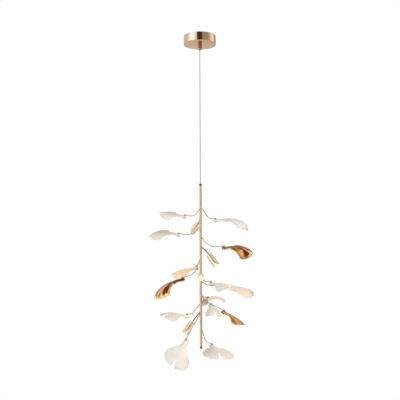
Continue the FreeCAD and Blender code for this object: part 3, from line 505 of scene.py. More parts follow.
def object_noise(tree, scale, detail, stretch=(1.0, 1.0, 1.0)):
    place = node(tree, "TexCoord").outputs["Object"]
    mapping = node(tree, "Mapping", Vector=place, Scale=stretch)
    return node(tree, "TexNoise", Vector=mapping.outputs["Vector"], Scale=scale, Detail=detail).outputs["Fac"]


def attribute(tree, name):
    made = tree.nodes.new("ShaderNodeAttribute")
    made.attribute_name = name
    return made.outputs["Fac"]


def effect_group(name, inputs, outputs):
    """An empty group with its sockets, and what its inputs give and its outputs take."""
    group = bpy.data.node_groups.new(name, "ShaderNodeTree")
    for label, kind, value in inputs:
        socket = group.interface.new_socket(name=label, in_out="INPUT", socket_type="NodeSocket" + kind)
        socket.default_value = value
    for label, kind in outputs:
        group.interface.new_socket(name=label, in_out="OUTPUT", socket_type="NodeSocket" + kind)
    return group, group.nodes.new("NodeGroupInput").outputs, group.nodes.new("NodeGroupOutput").inputs


@cache
def tone_drift_group():
    """Colour that wanders slowly between two tones."""
    group, into, out = effect_group("tone drift", [
        ("Tone", "Color", WHITE), ("Second Tone", "Color", WHITE), ("Scale", "Float", 30.0)],
        [("Colour", "Color")])
    share = ranged(group, object_noise(group, into["Scale"], 3.0), 0.35, 0.65)
    feed(group, out["Colour"], mixed(group, share, into["Tone"], into["Second Tone"]))
    return group


@cache
def polish_marks_group():
    """Roughness and height of fine marks left by polishing, drawn out along one direction."""
    group, into, out = effect_group("polish marks", [
        ("Scale", "Float", 400.0), ("Stretch", "Vector", (1.0, 1.0, 1.0)), ("Smooth", "Float", 0.1),
        ("Rough", "Float", 0.2)], [("Roughness", "Float"), ("Height", "Float")])
    noise = object_noise(group, into["Scale"], 4.0, into["Stretch"])
    feed(group, out["Roughness"], ranged(group, noise, 0.3, 0.7, into["Smooth"], into["Rough"]))
    feed(group, out["Height"], noise)
    return group


@cache
def petal_pattern_group():
    """Veins that fan out from a leaf's neck, its rim, and streaks, from the leaf's own map."""
    group, into, out = effect_group("petal pattern", [("Veins", "Float", VEINS)], [
        ("Vein", "Float"), ("Rim", "Float"), ("Streak", "Float"), ("Height", "Float")])
    place = node(group, "UVMap").outputs["UV"]
    split = node(group, "SeparateXYZ", Vector=place)
    across, along = split.outputs["X"], split.outputs["Y"]
    noise = node(group, "TexNoise", Vector=place, Scale=5.0).outputs["Fac"]
    wander = math_node(group, "MULTIPLY", math_node(group, "SUBTRACT", noise, 0.5), 0.05)
    turns = math_node(group, "MULTIPLY", math_node(group, "ADD", across, wander), into["Veins"])
    wave = math_node(group, "SINE", math_node(group, "MULTIPLY", turns, 2 * pi))
    edge = math_node(group, "ABSOLUTE", math_node(group, "SUBTRACT", across, 0.5))
    rim = math_node(group, "MAXIMUM", math_node(group, "MULTIPLY", edge, 2.0), along)
    drawn_out = node(group, "Mapping", Vector=place, Scale=(7.0, 1.8, 1.0)).outputs["Vector"]
    streaks = node(group, "TexNoise", Vector=drawn_out, Scale=1.0, Distortion=0.8).outputs["Fac"]
    fill(group, out, {"Vein": ranged(group, wave, 0.3, 1.0), "Rim": ranged(group, rim, 0.88, 1.0),
                      "Streak": ranged(group, streaks, 0.42, 0.53), "Height": wave})
    return group


def effect(tree, maker, **values):
    """A shared effect, built on first use and placed in a material with its own values."""
    made = tree.nodes.new("ShaderNodeGroup")
    made.node_tree = maker()
    fill(tree, made.inputs, values)
    return made.outputs


def opaque(tone, share=1.0):
    """A tone, or a darker share of it, as a shader's colour."""
    return (tone[0] * share, tone[1] * share, tone[2] * share, 1.0)


def drift(tree, tone, second_share, scale):
    """A tone that wanders to a darker share of itself."""
    return effect(tree, tone_drift_group, Tone=opaque(tone), Second_Tone=opaque(tone, second_share),
                  Scale=scale)["Colour"]


def material(name, **constants):
    """A material with its tree and its surface's inputs. What shines in it isn't sampled as a lamp."""
    made = bpy.data.materials.new(name)
    made.use_nodes = True
    made.cycles.emission_sampling = "NONE"
    surface = made.node_tree.nodes["Principled BSDF"].inputs
    fill(made.node_tree, surface, constants)
    return made, made.node_tree, surface


def bump(tree, surface, height, strength, depth=MARK_DEPTH):
    made = node(tree, "Bump", Height=height, Strength=strength, Distance=depth)
    feed(tree, surface["Normal"], made.outputs["Normal"])


def coated(name, tone, second_share, scale, smooth_to, rough_to, marks=300.0, stretch=(1, 1, 1),
           height=0.05, **constants):
    """A finish whose tone drifts and whose gloss carries fine marks."""
    made, tree, surface = material(name, **constants)
    polish = effect(tree, polish_marks_group, Scale=marks, Stretch=stretch, Smooth=smooth_to, Rough=rough_to)
    fill(tree, surface, {"Base Color": drift(tree, tone, second_share, scale),
                         "Roughness": polish["Roughness"]})
    bump(tree, surface, polish["Height"], height)
    return made


def porcelain_material(colours):
    """White glaze with painted grey shade and painted peach lamp glow that also shines, darker in veins and
    rim.
    """
    made, tree, surface = material("porcelain", Roughness=0.45, Coat_Weight=0.1, Coat_Roughness=0.25,
                                   Emission_Strength=0.2)
    pattern = effect(tree, petal_pattern_group, Veins=VEINS)
    painted_light_value = attribute(tree, "warm")
    painted_glow_share = ranged(tree, painted_light_value, 0.0, 1.0)
    tone = drift(tree, colours.porcelain, 0.9, 28.0)
    # Painted grey shade and painted peach lamp glow first, then veins and rim
    layers = (
        (ranged(tree, painted_light_value, -1.0, 0.0, 1.0, 0.0), opaque(colours.painted_shade_clay)),
        (painted_glow_share, opaque(colours.painted_lamp_glow)),
        (math_node(tree, "MULTIPLY", pattern["Vein"], 0.3), opaque(colours.porcelain_vein)),
        (math_node(tree, "MULTIPLY", pattern["Rim"], 0.15), opaque(colours.porcelain_vein, 0.9)),
    )
    for share, over in layers:
        tone = mixed(tree, share, tone, over)
    # Painted lamp glow: the leaf gives off peach light where lamp light is painted on it
    glow = mixed(tree, painted_glow_share, BLACK, opaque(colours.painted_lamp_glow))
    fill(tree, surface, {"Base Color": tone, "Emission Color": glow})
    bump(tree, surface, pattern["Height"], 0.05)
    return made


def lustre_material(colours):
    """Crinkled mirror gold with streaks of painted dark reflection, left out along the rim and where lamp
    light is painted.
    """
    made, tree, surface = material("gold lustre", Metallic=1.0)
    pattern = effect(tree, petal_pattern_group, Veins=VEINS)
    # Streaks of painted dark reflection, left out along the rim and where lamp light is painted
    plain = math_node(tree, "MAXIMUM", pattern["Rim"], attribute(tree, "warm"))
    streak = math_node(tree, "MULTIPLY", pattern["Streak"], math_node(tree, "SUBTRACT", 1.0, plain))
    tone = mixed(tree, streak, drift(tree, colours.lustre, 0.72, 24.0), opaque(colours.painted_dark_reflection))
    polish = effect(tree, polish_marks_group, Scale=120.0, Smooth=0.07, Rough=0.2)
    fill(tree, surface, {"Base Color": tone, "Roughness": polish["Roughness"]})
    bump(tree, surface, effect(tree, polish_marks_group, Scale=55.0)["Height"], 0.7, CRINKLE_DEPTH)
    return made


def lamp_cup_material(colours):
    """Polished gold outside; inside, the wall glows with painted bulb light."""
    made = coated("lamp gold", colours.lamp_gold, 0.9, 40.0, 0.12, 0.2, height=0.01, Metallic=0.75,
                  Emission_Strength=0.6)
    tree = made.node_tree
    lit = mixed(tree, attribute(tree, "inside"), BLACK, opaque(colours.glow))
    feed(tree, tree.nodes["Principled BSDF"].inputs["Emission Color"], lit)
    return made


def glow_material(colours):
    """Lit glass of the small bulbs."""
    made, tree, surface = material("lit glass", Roughness=0.12, Emission_Strength=0.95)
    tone = drift(tree, colours.glow, 0.9, 200.0)
    fill(tree, surface, {"Base Color": tone, "Emission Color": tone})
    return made


@cache
def finish_named(name):
    """A finish by its slot, made on first use."""
    colours = bpy.context.scene.pendant_colours
    makers = {
        "champagne_gold": lambda: coated("champagne gold", colours.champagne, 0.93, 14.0, 0.05, 0.1,
                                         marks=500.0, height=0.01, Metallic=1.0),
        "stem_gold": lambda: coated("stem gold", colours.stem_gold, 0.9, 20.0, 0.24, 0.28,
                                    stretch=(1, 1, 0.05), height=0.005, Metallic=0.85),
        "dark_bronze": lambda: coated("dark bronze", colours.bronze, 0.6, 60.0, 0.25, 0.42, Metallic=1.0),
        "lamp_gold": lambda: lamp_cup_material(colours),
        "zinc_steel": lambda: coated("zinc plate", colours.zinc, 0.75, 80.0, 0.25, 0.45, Metallic=1.0),
        "clear_cable": lambda: coated("clear sheath", colours.cable, 0.9, 60.0, 0.15, 0.25,
                                      Coat_Weight=0.6, Coat_Roughness=0.05),
        "white_plastic": lambda: coated("white plastic", WHITE_PLASTIC, 0.92, 30.0, 0.4, 0.55, marks=1500.0),
        "wire_plastic": lambda: coated("wire plastic", WIRE_PLASTIC, 0.7, 40.0, 0.4, 0.5),
        "arm_grey": lambda: coated("arm grey", colours.arm_grey, 0.8, 60.0, 0.3, 0.45, Metallic=0.4),
        "socket_ceramic": lambda: coated("socket ceramic", colours.ceramic, 0.88, 120.0, 0.55, 0.7,
                                         marks=1200.0),
        "bulb_glass": lambda: glow_material(colours),
        "porcelain": lambda: porcelain_material(colours),
        "gold_lustre": lambda: lustre_material(colours),
    }
    return makers[name]()


# ---------------- pieces

def build_canopy(sizes):
    """Spun canopy: an open cup with a rounded lower edge and a hole for the threaded tube."""
    radius, wall = sizes.canopy_radius, sizes.canopy_wall
    fillet, floor = 1.0 * MM, CANOPY_FOOT + wall
    corner = [(radius - fillet + fillet * sin(radians(a)),
               CANOPY_FOOT + fillet - fillet * cos(radians(a))) for a in range(0, 91, 15)]
    profile = [(THREAD_HOLE, CANOPY_FOOT), *corner, (radius, 0), (radius - wall, 0), (radius - wall, floor),
               (THREAD_HOLE, floor)]
    piece = turned("canopy_shell", profile, sides=128, hollow=True)
    soften(piece, 0.25 * MM)
    return finished(piece, "canopy", "champagne_gold", "canopy_cup")


def build_gland(sizes):
    """Cable gland: clamps the canopy from below and opens to a flared mouth."""
    radius, top = sizes.gland_radius, CANOPY_FOOT - 0.02 * MM
    shoulder, ball_centre = -39.3 * MM, -44.5 * MM
    throat, ball_room = 3.9 * MM, 4.7 * MM
    mouth, flare = 4.8 * MM, 2.1 * MM
    profile = [(throat, GLAND_FOOT + flare), (mouth, GLAND_FOOT), (radius, GLAND_FOOT), (radius, top),
               (THREAD_HOLE, top), (THREAD_HOLE, shoulder), (ball_room, shoulder), (ball_room, ball_centre)]
    steps = 5
    for step in range(1, steps + 1):
        low = ball_room * sin(acos(throat / ball_room)) * step / steps
        profile.append((sqrt(ball_room ** 2 - low ** 2), ball_centre - low))
    piece = turned("gland_shell", profile, sides=48, hollow=True)
    soften(piece, 0.3 * MM, angle=35)
    return finished(piece, "canopy", "stem_gold", "cable_gland", look="champagne_gold")


class PENDANT_OT_canopy(bpy.types.Operator):
    """Builds the ceiling canopy and the cable gland below it"""
    bl_idname = "pendant.canopy"
    bl_label = "Canopy and gland"

    def execute(self, context):
        build_canopy(context.scene.pendant_sizes)
        build_gland(context.scene.pendant_sizes)
        return {"FINISHED"}


class PENDANT_OT_cable(bpy.types.Operator):
    """Hangs the straight suspension cable between the gland and the stem"""
    bl_idname = "pendant.cable"
    bl_label = "Suspension cable"

    def execute(self, context):
        sizes = context.scene.pendant_sizes
        route = [(0, 0, -0.043), (0, 0, -0.2), (0, 0, -0.4), (0, 0, -0.5613)]
        clear_selection()
        line = bpy.data.curves.new("cable_run", "CURVE")
        line.dimensions = "3D"
        line.bevel_depth = sizes.cable_diameter / 2
        line.bevel_resolution = 5
        line.use_fill_caps = True
        spline = line.splines.new("NURBS")
        spline.points.add(len(route) - 1)
        for point, place in zip(spline.points, route):
            point.co = (*place, 1)
        spline.order_u = 3
        spline.use_endpoint_u = True
        spline.resolution_u = 12
        piece = bpy.data.objects.new("cable_run", line)
        context.scene.collection.objects.link(piece)
        line.materials.append(finish_named("clear_cable"))
        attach(piece, "cable")
        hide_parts("suspension_cable")
        return {"FINISHED"}


class PENDANT_OT_stem(bpy.types.Operator):
    """Builds the straight stem and its two dark caps"""
    bl_idname = "pendant.stem"
    bl_label = "Stem and caps"

    def execute(self, context):
        sizes = context.scene.pendant_sizes
        radius, cap = sizes.stem_radius, sizes.cap_height
        top, foot = STEM_TOP - cap, STEM_FOOT + cap
        bore, plug, hole, pocket = 3.5 * MM, 3.45 * MM, 1.8 * MM, 2.9 * MM
        plug_length, floor = 10 * MM, 2 * MM
        tube = turned("stem_tube", [(bore, foot), (radius, foot), (radius, top), (bore, top)], hollow=True)
        soften(tube, 0.2 * MM)
        finished(tube, "stem", "stem_gold", "stem_rod")
        upper = turned("stem_cap_upper", [
            (pocket, top - plug_length), (plug, top - plug_length), (plug, top), (radius, top),
            (radius, STEM_TOP), (hole, STEM_TOP), (hole, STEM_TOP - floor), (pocket, STEM_TOP - floor)],
            hollow=True)
        soften(upper, 0.4 * MM)
        finished(upper, "stem", "dark_bronze", "stem_top_cap")
        lower = turned("stem_cap_lower", [
            (radius / 2, STEM_FOOT), (radius, STEM_FOOT), (radius, foot), (plug, foot),
            (plug, foot + plug_length)])
        soften(lower, 0.4 * MM)
        finished(lower, "stem", "dark_bronze", "stem_bottom_cap")
        return {"FINISHED"}


def wall_start(arm, radius, sizes):
    """How far along its first run an arm starts, so that its end hides in the stem's wall."""
    steep = radians(arm.steep)
    return (sizes.stem_radius - radius * sin(steep)) / cos(steep)


def seat_model(sizes):
    """Turned seat with its crown above the arm's line and its stud below."""
    radius, stud, chamfer, crown = sizes.seat_radius, 1.5 * MM, 0.6 * MM, 2.6 * MM
    stud_foot, seat_foot, side_top, top = -12.6 * MM, -2.5 * MM, 1.1 * MM, 2.2 * MM
    seat = turned("seat_model", [
        (chamfer, stud_foot), (stud, stud_foot), (stud, seat_foot), (radius, seat_foot), (radius, side_top),
        (crown, top)], 32)
    soften(seat, 0.35 * MM, angle=30)
    return seat


def build_twigs(sizes):
    twigs = []
    arms = {leaf.name: leaf.arm for leaf in LEAVES}
    for leaf, leaf_share, lamp, lamp_share in TWIGS:
        start = arm_point(arms[leaf], leaf_share)
        span = arm_point(LAMPS[lamp], lamp_share) - start
        twig = turned("twig_" + leaf, [(sizes.twig_radius, 0), (sizes.twig_radius, span.length)], 12)
        smooth(twig)
        turn = span.to_track_quat("Z", "Y").to_matrix().to_4x4()
        twigs.append(bake(twig, Matrix.Translation(start) @ turn))
    finished(joined(twigs, "twig_braces"), "stem", "arm_grey", "brace_twigs")


class PENDANT_OT_branches(bpy.types.Operator):
    """Bends the leaf arms with their seats and studs, the lamp arms and the brace twigs"""
    bl_idname = "pendant.branches"
    bl_label = "Arms, seats and twigs"

    def execute(self, context):
        sizes = context.scene.pendant_sizes
        seat = seat_model(sizes)
        for leaf in LEAVES:
            inside = wall_start(leaf.arm, sizes.wire_radius, sizes)
            wire = bent_wire("wire_" + leaf.name, leaf.arm, sizes.wire_radius, inside)
            head = copied(seat, "seat_" + leaf.name, arm_frame(leaf.arm, leaf.roll))
            whole = joined([wire, head], "branch_" + leaf.name)
            finished(whole, "stem", "arm_grey", "leaf_arm_" + leaf.name)
        discard(seat)
        tubes = []
        for name, arm in LAMPS.items():
            inside = wall_start(arm, sizes.lamp_arm_radius, sizes)
            tubes.append(bent_wire("lamp_wire_" + name, arm, sizes.lamp_arm_radius, inside))
        finished(joined(tubes, "lamp_branches"), "stem", "dark_bronze", "lamp_arms")
        build_twigs(sizes)
        return {"FINISHED"}


class PENDANT_OT_nuts(bpy.types.Operator):
    """Turns one cap nut and sets a copy under each leaf"""
    bl_idname = "pendant.nuts"
    bl_label = "Cap nuts"

    def execute(self, context):
        radius = context.scene.pendant_sizes.nut_radius
        groove, bore = radius - 0.4 * MM, 1.55 * MM
        dome = [(0.8 * MM, -14.5 * MM), (1.8 * MM, -14.2 * MM), (radius - 0.3 * MM, -12.9 * MM),
                (radius, -12.0 * MM)]
        band = [(radius, -9.4 * MM), (groove, -9.2 * MM), (groove, -8.6 * MM), (radius, -8.4 * MM)]
        top, bore_foot = -6.5 * MM, -12.5 * MM
        model = turned("nut_model", [*dome, *band, (radius, top), (bore, top), (bore, bore_foot)], 32)
        soften(model, 0.15 * MM, angle=35)
        nuts = [copied(model, "nut_" + leaf.name, arm_frame(leaf.arm, leaf.roll)) for leaf in LEAVES]
        discard(model)
        finished(joined(nuts, "cap_nuts"), "stem", "dark_bronze", "leaf_cap_nuts")
        return {"FINISHED"}


def painted_light_share(leaf, along, across):
    """Share of painted lamp glow on a leaf at a point, below zero where painted grey shade lies."""
    total = 0.0
    for spot, beside, reach, strength in PAINTED_LIGHT_TABLE.get(leaf.name, ()):
        away = (along - spot) ** 2 + (ACROSS_WEIGHT * (across - beside)) ** 2
        total += strength * exp(-away / reach ** 2)
    return max(-1.0, min(1.0, total))


def split_sheet(name):
    """A grid over -1 to 1 each way, in edit mode, split along its middle column past the notch's end."""
    clear_selection()
    bpy.ops.mesh.primitive_grid_add(x_subdivisions=PETAL_COLUMNS, y_subdivisions=PETAL_ROWS, size=2.0)
    piece = named(bpy.context.object, name)
    begin_edit(piece)
    bpy.ops.mesh.select_all(action="DESELECT")
    bpy.ops.mesh.select_mode(type="EDGE")
    sheet = bmesh.from_edit_mesh(piece.data)
    near = PETAL_ROW / 4
    apex = -1.0 + PETAL_ROWS_WHOLE * PETAL_ROW
    for edge in sheet.edges:
        edge.select = all(abs(v.co.x) < near and v.co.y > apex - near for v in edge.verts)
    bmesh.update_edit_mesh(piece.data)
    bpy.ops.mesh.edge_split(type="EDGE")
    bpy.ops.mesh.select_mode(type="VERT")
    return piece


def build_petal(leaf, sizes):
    """One leaf: a sheet with a notch, rolled at the neck, fanned out, ribbed and given its thickness."""
    piece = split_sheet("petal_" + leaf.name)
    sheet = bmesh.from_edit_mesh(piece.data)
    whole = sizes.leaf_length * leaf.length
    apex_along = (NOTCH_END_SHARE * whole + BEHIND_STUD) / (whole + BEHIND_STUD)
    painted_light_value = sheet.verts.layers.float.new("warm")
    places = []
    for vert in sheet.verts:
        across = vert.co.x
        step = (vert.co.y + 1.0) / PETAL_ROW
        if step <= PETAL_ROWS_WHOLE:
            along = apex_along * step / PETAL_ROWS_WHOLE
        else:
            past = (step - PETAL_ROWS_WHOLE) / (PETAL_ROWS - PETAL_ROWS_WHOLE)
            along = apex_along + (1 - apex_along) * past
        side = copysign(1.0, sum(face.calc_center_median().x for face in vert.link_faces))
        gap = notch_across(leaf, sizes, along)
        shifted = side * (gap + (1 - gap) * abs(across))
        # Painted lamp glow (above zero) and painted shade (below), kept in the warm layer
        vert[painted_light_value] = painted_light_share(leaf, along, shifted)
        lift = sizes.rib_height * cos(RIB_TURN * across) * along ** RIB_POWER
        lift += sizes.rim_wave * sin(across * RIM_TURN + float(leaf.name)) * along ** RIM_POWER
        place = (leaf, sizes, along, shifted)
        places.append(leaf_point(*place) + leaf_normal(*place) * lift)
    matrix = leaf_frame(leaf)
    for vert, place in zip(sheet.verts, places):
        vert.co = matrix @ place
    bmesh.update_edit_mesh(piece.data)
    end_edit()
    apply_modifier(piece, "SOLIDIFY", thickness=sizes.leaf_thick, offset=0.0, use_even_offset=True)
    apply_modifier(piece, "SUBSURF", levels=1, render_levels=1)
    only(piece)
    bpy.ops.object.shade_smooth()
    return finished(piece, "leaf_" + leaf.name + "_body", "gold_lustre" if leaf.gold else "porcelain",
                    "leaf_" + leaf.name)


class PENDANT_OT_leaves(bpy.types.Operator):
    """Shapes the fourteen fan leaves, eleven in porcelain and three in gold lustre"""
    bl_idname = "pendant.leaves"
    bl_label = "Leaves"

    def execute(self, context):
        for leaf in LEAVES:
            build_petal(leaf, context.scene.pendant_sizes)
        return {"FINISHED"}


def cut_notches(piece, sizes):
    """Draws the rim of a lamp cup down into two opposite vee notches."""
    base = sizes.shade_length - CUP_RIM_BAND
    depth, half_width = 15 * MM, 7 * MM
    for vert in piece.data.vertices:
        if vert.co.z > base:
            rim = sizes.shade_length - depth * (1 - min(1.0, abs(vert.co.x) / half_width))
            vert.co.z = base + (vert.co.z - base) * (rim - base) / (sizes.shade_length - base)


def mark_inside(piece, sizes):
    """Marks the inner wall of a lamp cup for painted bulb light, most where the bulb shines on it."""
    inside = piece.data.attributes.new("inside", "FLOAT", "POINT")
    middle, fall = 0.6 * sizes.shade_length, 0.6
    for vert, mark in zip(piece.data.vertices, inside.data):
        if vert.co.z > 0 and hypot(vert.co.x, vert.co.y) < sizes.shade_radius - CUP_WALL / 2:
            mark.value = 1.0 - fall * abs(vert.co.z - middle) / middle


def cup_model(sizes):
    """Lamp cup: an open tube on the collar that holds its arm, with two notches in its rim."""
    radius, rim = sizes.shade_radius, sizes.shade_length
    inner, base = radius - CUP_WALL, rim - CUP_RIM_BAND
    bore, collar, collar_foot, fillet = 2.05 * MM, 3.4 * MM, -5 * MM, 0.6 * MM
    band = [base + (rim - base) * share for share in (0.25, 0.5, 0.75, 1.0)]
    cup = turned("cup_model", [
        (bore, collar_foot), (collar, collar_foot), (collar, -fillet), (collar + fillet, 0), (radius, 0),
        (radius, base), *[(radius, z) for z in band], (inner, rim), *[(inner, z) for z in band[-2::-1]],
        (inner, base), (inner, CUP_WALL), (bore, CUP_WALL)], 64, hollow=True)
    cut_notches(cup, sizes)
    mark_inside(cup, sizes)
    soften(cup, 0.25 * MM)
    return cup


def socket_model():
    """Ceramic socket on the cup's floor, with a shallow well for the bulb."""
    inner, radius, shoulder, well, well_foot = 2 * MM, 7 * MM, 6.2 * MM, 5 * MM, 4.9 * MM
    side_top, top, well_floor = 12 * MM, 13 * MM, 12.2 * MM
    socket = turned("socket_model", [
        (inner, CUP_WALL), (radius, CUP_WALL), (radius, side_top), (shoulder, top), (well, top),
        (well_foot, well_floor)], 40)
    soften(socket, 0.3 * MM, angle=35)
    return socket


def bulb_model(sizes):
    """Small capsule bulb: a narrow foot, a waist and a domed glass."""
    radius, foot, tip = sizes.bulb_radius, 13.3 * MM, 40.3 * MM
    neck, waist = 4.6 * MM, foot + 6 * MM
    dome = [(radius * cos(radians(a)), tip - radius * (1 - sin(radians(a))))
            for a in range(15, 90, 15)]
    glass = turned("bulb_model", [
        (2.5 * MM, foot), (neck, foot + 0.2 * MM), (neck, waist), (radius, waist + 0.9 * MM),
        (radius, tip - radius), *dome, (0.4 * MM, tip)], 32)
    smooth(glass, 50)
    return glass


class PENDANT_OT_lamps(bpy.types.Operator):
    """Builds the five lamp cups with their sockets and small bulbs"""
    bl_idname = "pendant.lamps"
    bl_label = "Lamp cups, sockets and bulbs"

    def execute(self, context):
        sizes = context.scene.pendant_sizes
        cup, socket, glass = cup_model(sizes), socket_model(), bulb_model(sizes)
        sockets = []
        for name, arm in LAMPS.items():
            place = cup_frame(arm)
            finished(copied(cup, "shade_" + name, place), "stem", "lamp_gold", "lamp_cup_" + name)
            sockets.append(copied(socket, "socket_" + name, place))
            bulb = "bulb_" + name
            capsule = finished(copied(glass, "capsule_" + name, place), bulb + "_body", "bulb_glass", bulb)
            capsule.visible_diffuse = False
        finished(joined(sockets, "lamp_sockets"), "stem", "socket_ceramic", "bulb_sockets")
        for model in (cup, socket, glass):
            discard(model)
        return {"FINISHED"}


class PENDANT_OT_fittings(bpy.types.Operator):
    """Gives the fittings that keep their construction shape their finishes"""
    bl_idname = "pendant.fittings"
    bl_label = "Inner fittings"

    def execute(self, context):
        slots = {row["node"]: row["material_slot"] for row in frame["record"]["subparts"]}
        for name, piece in frame["nodes"].items():
            if piece.hide_render:
                continue
            for index in range(len(piece.material_slots)):
                piece.material_slots[index].material = finish_named(slots[name])
        return {"FINISHED"}


# ---------------- stage

# Reflected studio, as two rings round the light: degrees to the camera's right, tone and level there
RING_RADIUS = 3.3
RING_LEVEL = 4.0
BOX = (0.46, 0.68, 1.0)
PALE = (0.78, 0.86, 1.0)
WALL = (1.0, 0.93, 0.85)
FLAG = (1.0, 0.65, 0.45)
HIGH_RING = [
    (-180, PALE, 1.0), (-98, PALE, 1.5), (-62, BOX, 4.0), (-46, BOX, 4.0), (-22, BOX, 2.0),
    (-16, FLAG, 0.11), (15, FLAG, 0.11), (19, PALE, 0.66), (60, PALE, 0.70), (94, PALE, 2.0),
    (106, PALE, 2.0), (128, PALE, 0.78), (180, PALE, 1.0),
]
LOW_RING = [
    (-180, WALL, 0.92), (-112, PALE, 1.4), (-20, PALE, 1.4), (-15, FLAG, 0.06), (6, FLAG, 0.06),
    (11, PALE, 0.9), (28, PALE, 0.9), (33, WALL, 0.4), (57, WALL, 0.4), (60, PALE, 1.7),
    (68, PALE, 1.7), (71, WALL, 0.4), (150, WALL, 0.4), (180, WALL, 0.92),
]
# Soft lamps: place, target, width and power
LIGHTS = {
    "key_light": ((-1.8, -2.4, -0.5), (0, 0, -0.8), 1.6, 27),
    "back_light": ((0.4, 2.6, -0.3), (0, 0, -0.8), 1.6, 16),
    "fill_light": ((1.4, -1.8, 0.0), (0, 0, -0.9), 1.4, 36),
}
ROOM_LIGHT = 0.43
FLOOR_RADIUS = 2.2
FLOOR_HEIGHT = -1.75
FLOOR_TONE = (0.85, 0.85, 0.85, 1.0)
FLOOR_SHINE = 0.24
FLOOR_SHINE_SEEN = 0.5
CAMERA_PLACE = (-0.0016, -2.6, -0.862)
CAMERA_TILT = 95.56
CAMERA_ROLL = -0.24
CAMERA_LENS = 64.8


def ring(name, low, high, stops):
    """A ring round the light, seen only in reflections, that shines as its table says."""
    clear_selection()
    bpy.ops.mesh.primitive_cylinder_add(vertices=96, radius=RING_RADIUS, depth=high - low,
                                        end_fill_type="NOTHING", location=(0, 0, (low + high) / 2))
    piece = named(bpy.context.object, name)
    made = bpy.data.materials.new(name)
    made.use_nodes = True
    made.cycles.emission_sampling = "NONE"
    tree = made.node_tree
    tree.nodes.clear()
    place = node(tree, "TexCoord").outputs["Object"]
    facing = node(tree, "Mapping", Vector=place, Rotation=(0, 0, pi / 2)).outputs["Vector"]
    around = node(tree, "TexGradient", Vector=facing)
    around.gradient_type = "RADIAL"
    levels = node(tree, "ValToRGB", Fac=around.outputs["Fac"])
    elements = levels.color_ramp.elements
    for degrees, *_ in stops[1:-1]:
        elements.new(degrees / 360 + 0.5)
    for element, (_, tone, level) in zip(elements, stops):
        element.color = opaque(tone, level / RING_LEVEL)
    emission = node(tree, "Emission", Color=levels.outputs["Color"], Strength=RING_LEVEL)
    node(tree, "OutputMaterial", Surface=emission.outputs[0])
    piece.data.materials.append(made)
    for rays in ("camera", "diffuse", "shadow", "transmission"):
        setattr(piece, "visible_" + rays, False)


def area_light(name, place, target, size, energy):
    light = bpy.data.lights.new(name, "AREA")
    light.size = size
    light.energy = energy
    lamp = bpy.data.objects.new(name, light)
    bpy.context.scene.collection.objects.link(lamp)
    lamp.location = place
    lamp.rotation_euler = (Vector(target) - Vector(place)).to_track_quat("-Z", "Y").to_euler()
    lamp.visible_camera = False
    lamp.visible_glossy = False


def build_world(scene):
    """Pale light from all round; the camera and reflections see plain white."""
    world = bpy.data.worlds.new("studio")
    scene.world = world
    world.use_nodes = True
    tree = world.node_tree
    tree.nodes.clear()
    rays = node(tree, "LightPath").outputs
    seen = math_node(tree, "MAXIMUM", rays["Is Camera Ray"],
                     math_node(tree, "MAXIMUM", rays["Is Glossy Ray"], rays["Is Transmission Ray"]))
    background = node(tree, "Background", Color=WHITE, Strength=ranged(tree, seen, 0.0, 1.0, ROOM_LIGHT, 1.0))
    node(tree, "OutputWorld", Surface=background.outputs[0])


def build_floor():
    """Plain pale floor well below the light: it shows white and keeps the shadow."""
    clear_selection()
    bpy.ops.mesh.primitive_circle_add(vertices=64, radius=FLOOR_RADIUS, location=(0, 0, FLOOR_HEIGHT),
                                      fill_type="NGON")
    floor = bake(named(bpy.context.object, "floor"))
    made, tree, surface = material("pale floor", Base_Color=FLOOR_TONE, Roughness=0.9, Emission_Color=WHITE)
    seen = node(tree, "LightPath").outputs["Is Camera Ray"]
    feed(tree, surface["Emission Strength"], ranged(tree, seen, 0.0, 1.0, FLOOR_SHINE, FLOOR_SHINE_SEEN))
    floor.data.materials.append(made)


def build_camera(scene):
    """Camera at the height of the leaves, tipped up a little towards the canopy."""
    data = bpy.data.cameras.new("camera")
    data.lens = CAMERA_LENS
    camera = bpy.data.objects.new("camera", data)
    scene.collection.objects.link(camera)
    camera.matrix_world = (Matrix.Translation(CAMERA_PLACE) @ turn_about("X", CAMERA_TILT)
                           @ turn_about("Z", CAMERA_ROLL))
    scene.camera = camera


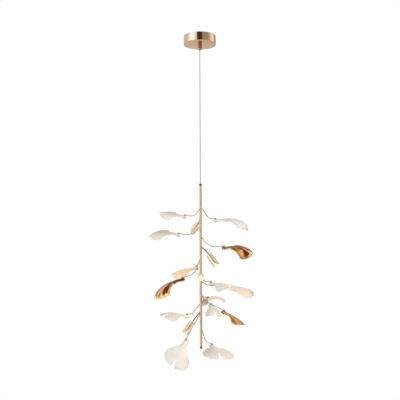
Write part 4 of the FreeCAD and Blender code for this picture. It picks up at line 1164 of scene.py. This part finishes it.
class PENDANT_OT_stage(bpy.types.Operator):
    """Sets the pale floor, the soft studio light and the camera"""
    bl_idname = "pendant.stage"
    bl_label = "Stage, light and camera"

    def execute(self, context):
        scene = context.scene
        scene.view_settings.view_transform = "Standard"
        build_camera(scene)
        build_world(scene)
        build_floor()
        ring("high_ring", 0.5, 2.0, HIGH_RING)
        ring("low_ring", -2.4, 0.5, LOW_RING)
        for name, values in LIGHTS.items():
            area_light(name, *values)
        return {"FINISHED"}


class PENDANT_PT_pieces(bpy.types.Panel):
    """Lists the pieces of the pendant light and their sizes and colours"""
    bl_idname = "PENDANT_PT_pieces"
    bl_label = "Leaf Pendant Light"
    bl_space_type = "VIEW_3D"
    bl_region_type = "UI"
    bl_category = "Pendant"

    def draw(self, context):
        for operator in STEPS:
            self.layout.operator(operator.bl_idname)
        for group in (context.scene.pendant_sizes, context.scene.pendant_colours):
            column = self.layout.column()
            for name in group.__annotations__:
                column.prop(group, name)


STEPS = (PENDANT_OT_stage, PENDANT_OT_cable, PENDANT_OT_canopy, PENDANT_OT_stem, PENDANT_OT_branches,
         PENDANT_OT_nuts, PENDANT_OT_leaves, PENDANT_OT_lamps, PENDANT_OT_fittings)
CLASSES = (PendantSizes, PendantColours, *STEPS, PENDANT_PT_pieces)


def register():
    for item in CLASSES:
        bpy.utils.register_class(item)
    bpy.types.Scene.pendant_sizes = bpy.props.PointerProperty(type=PendantSizes)
    bpy.types.Scene.pendant_colours = bpy.props.PointerProperty(type=PendantColours)


def unregister():
    del bpy.types.Scene.pendant_colours
    del bpy.types.Scene.pendant_sizes
    for item in reversed(CLASSES):
        bpy.utils.unregister_class(item)


def main():
    register()
    bpy.ops.pendant.stage()
    bpy.ops.pendant.cable()
    bpy.ops.pendant.canopy()
    bpy.ops.pendant.stem()
    bpy.ops.pendant.branches()
    bpy.ops.pendant.nuts()
    bpy.ops.pendant.leaves()
    bpy.ops.pendant.lamps()
    bpy.ops.pendant.fittings()


if __name__ == "__main__":
    main()
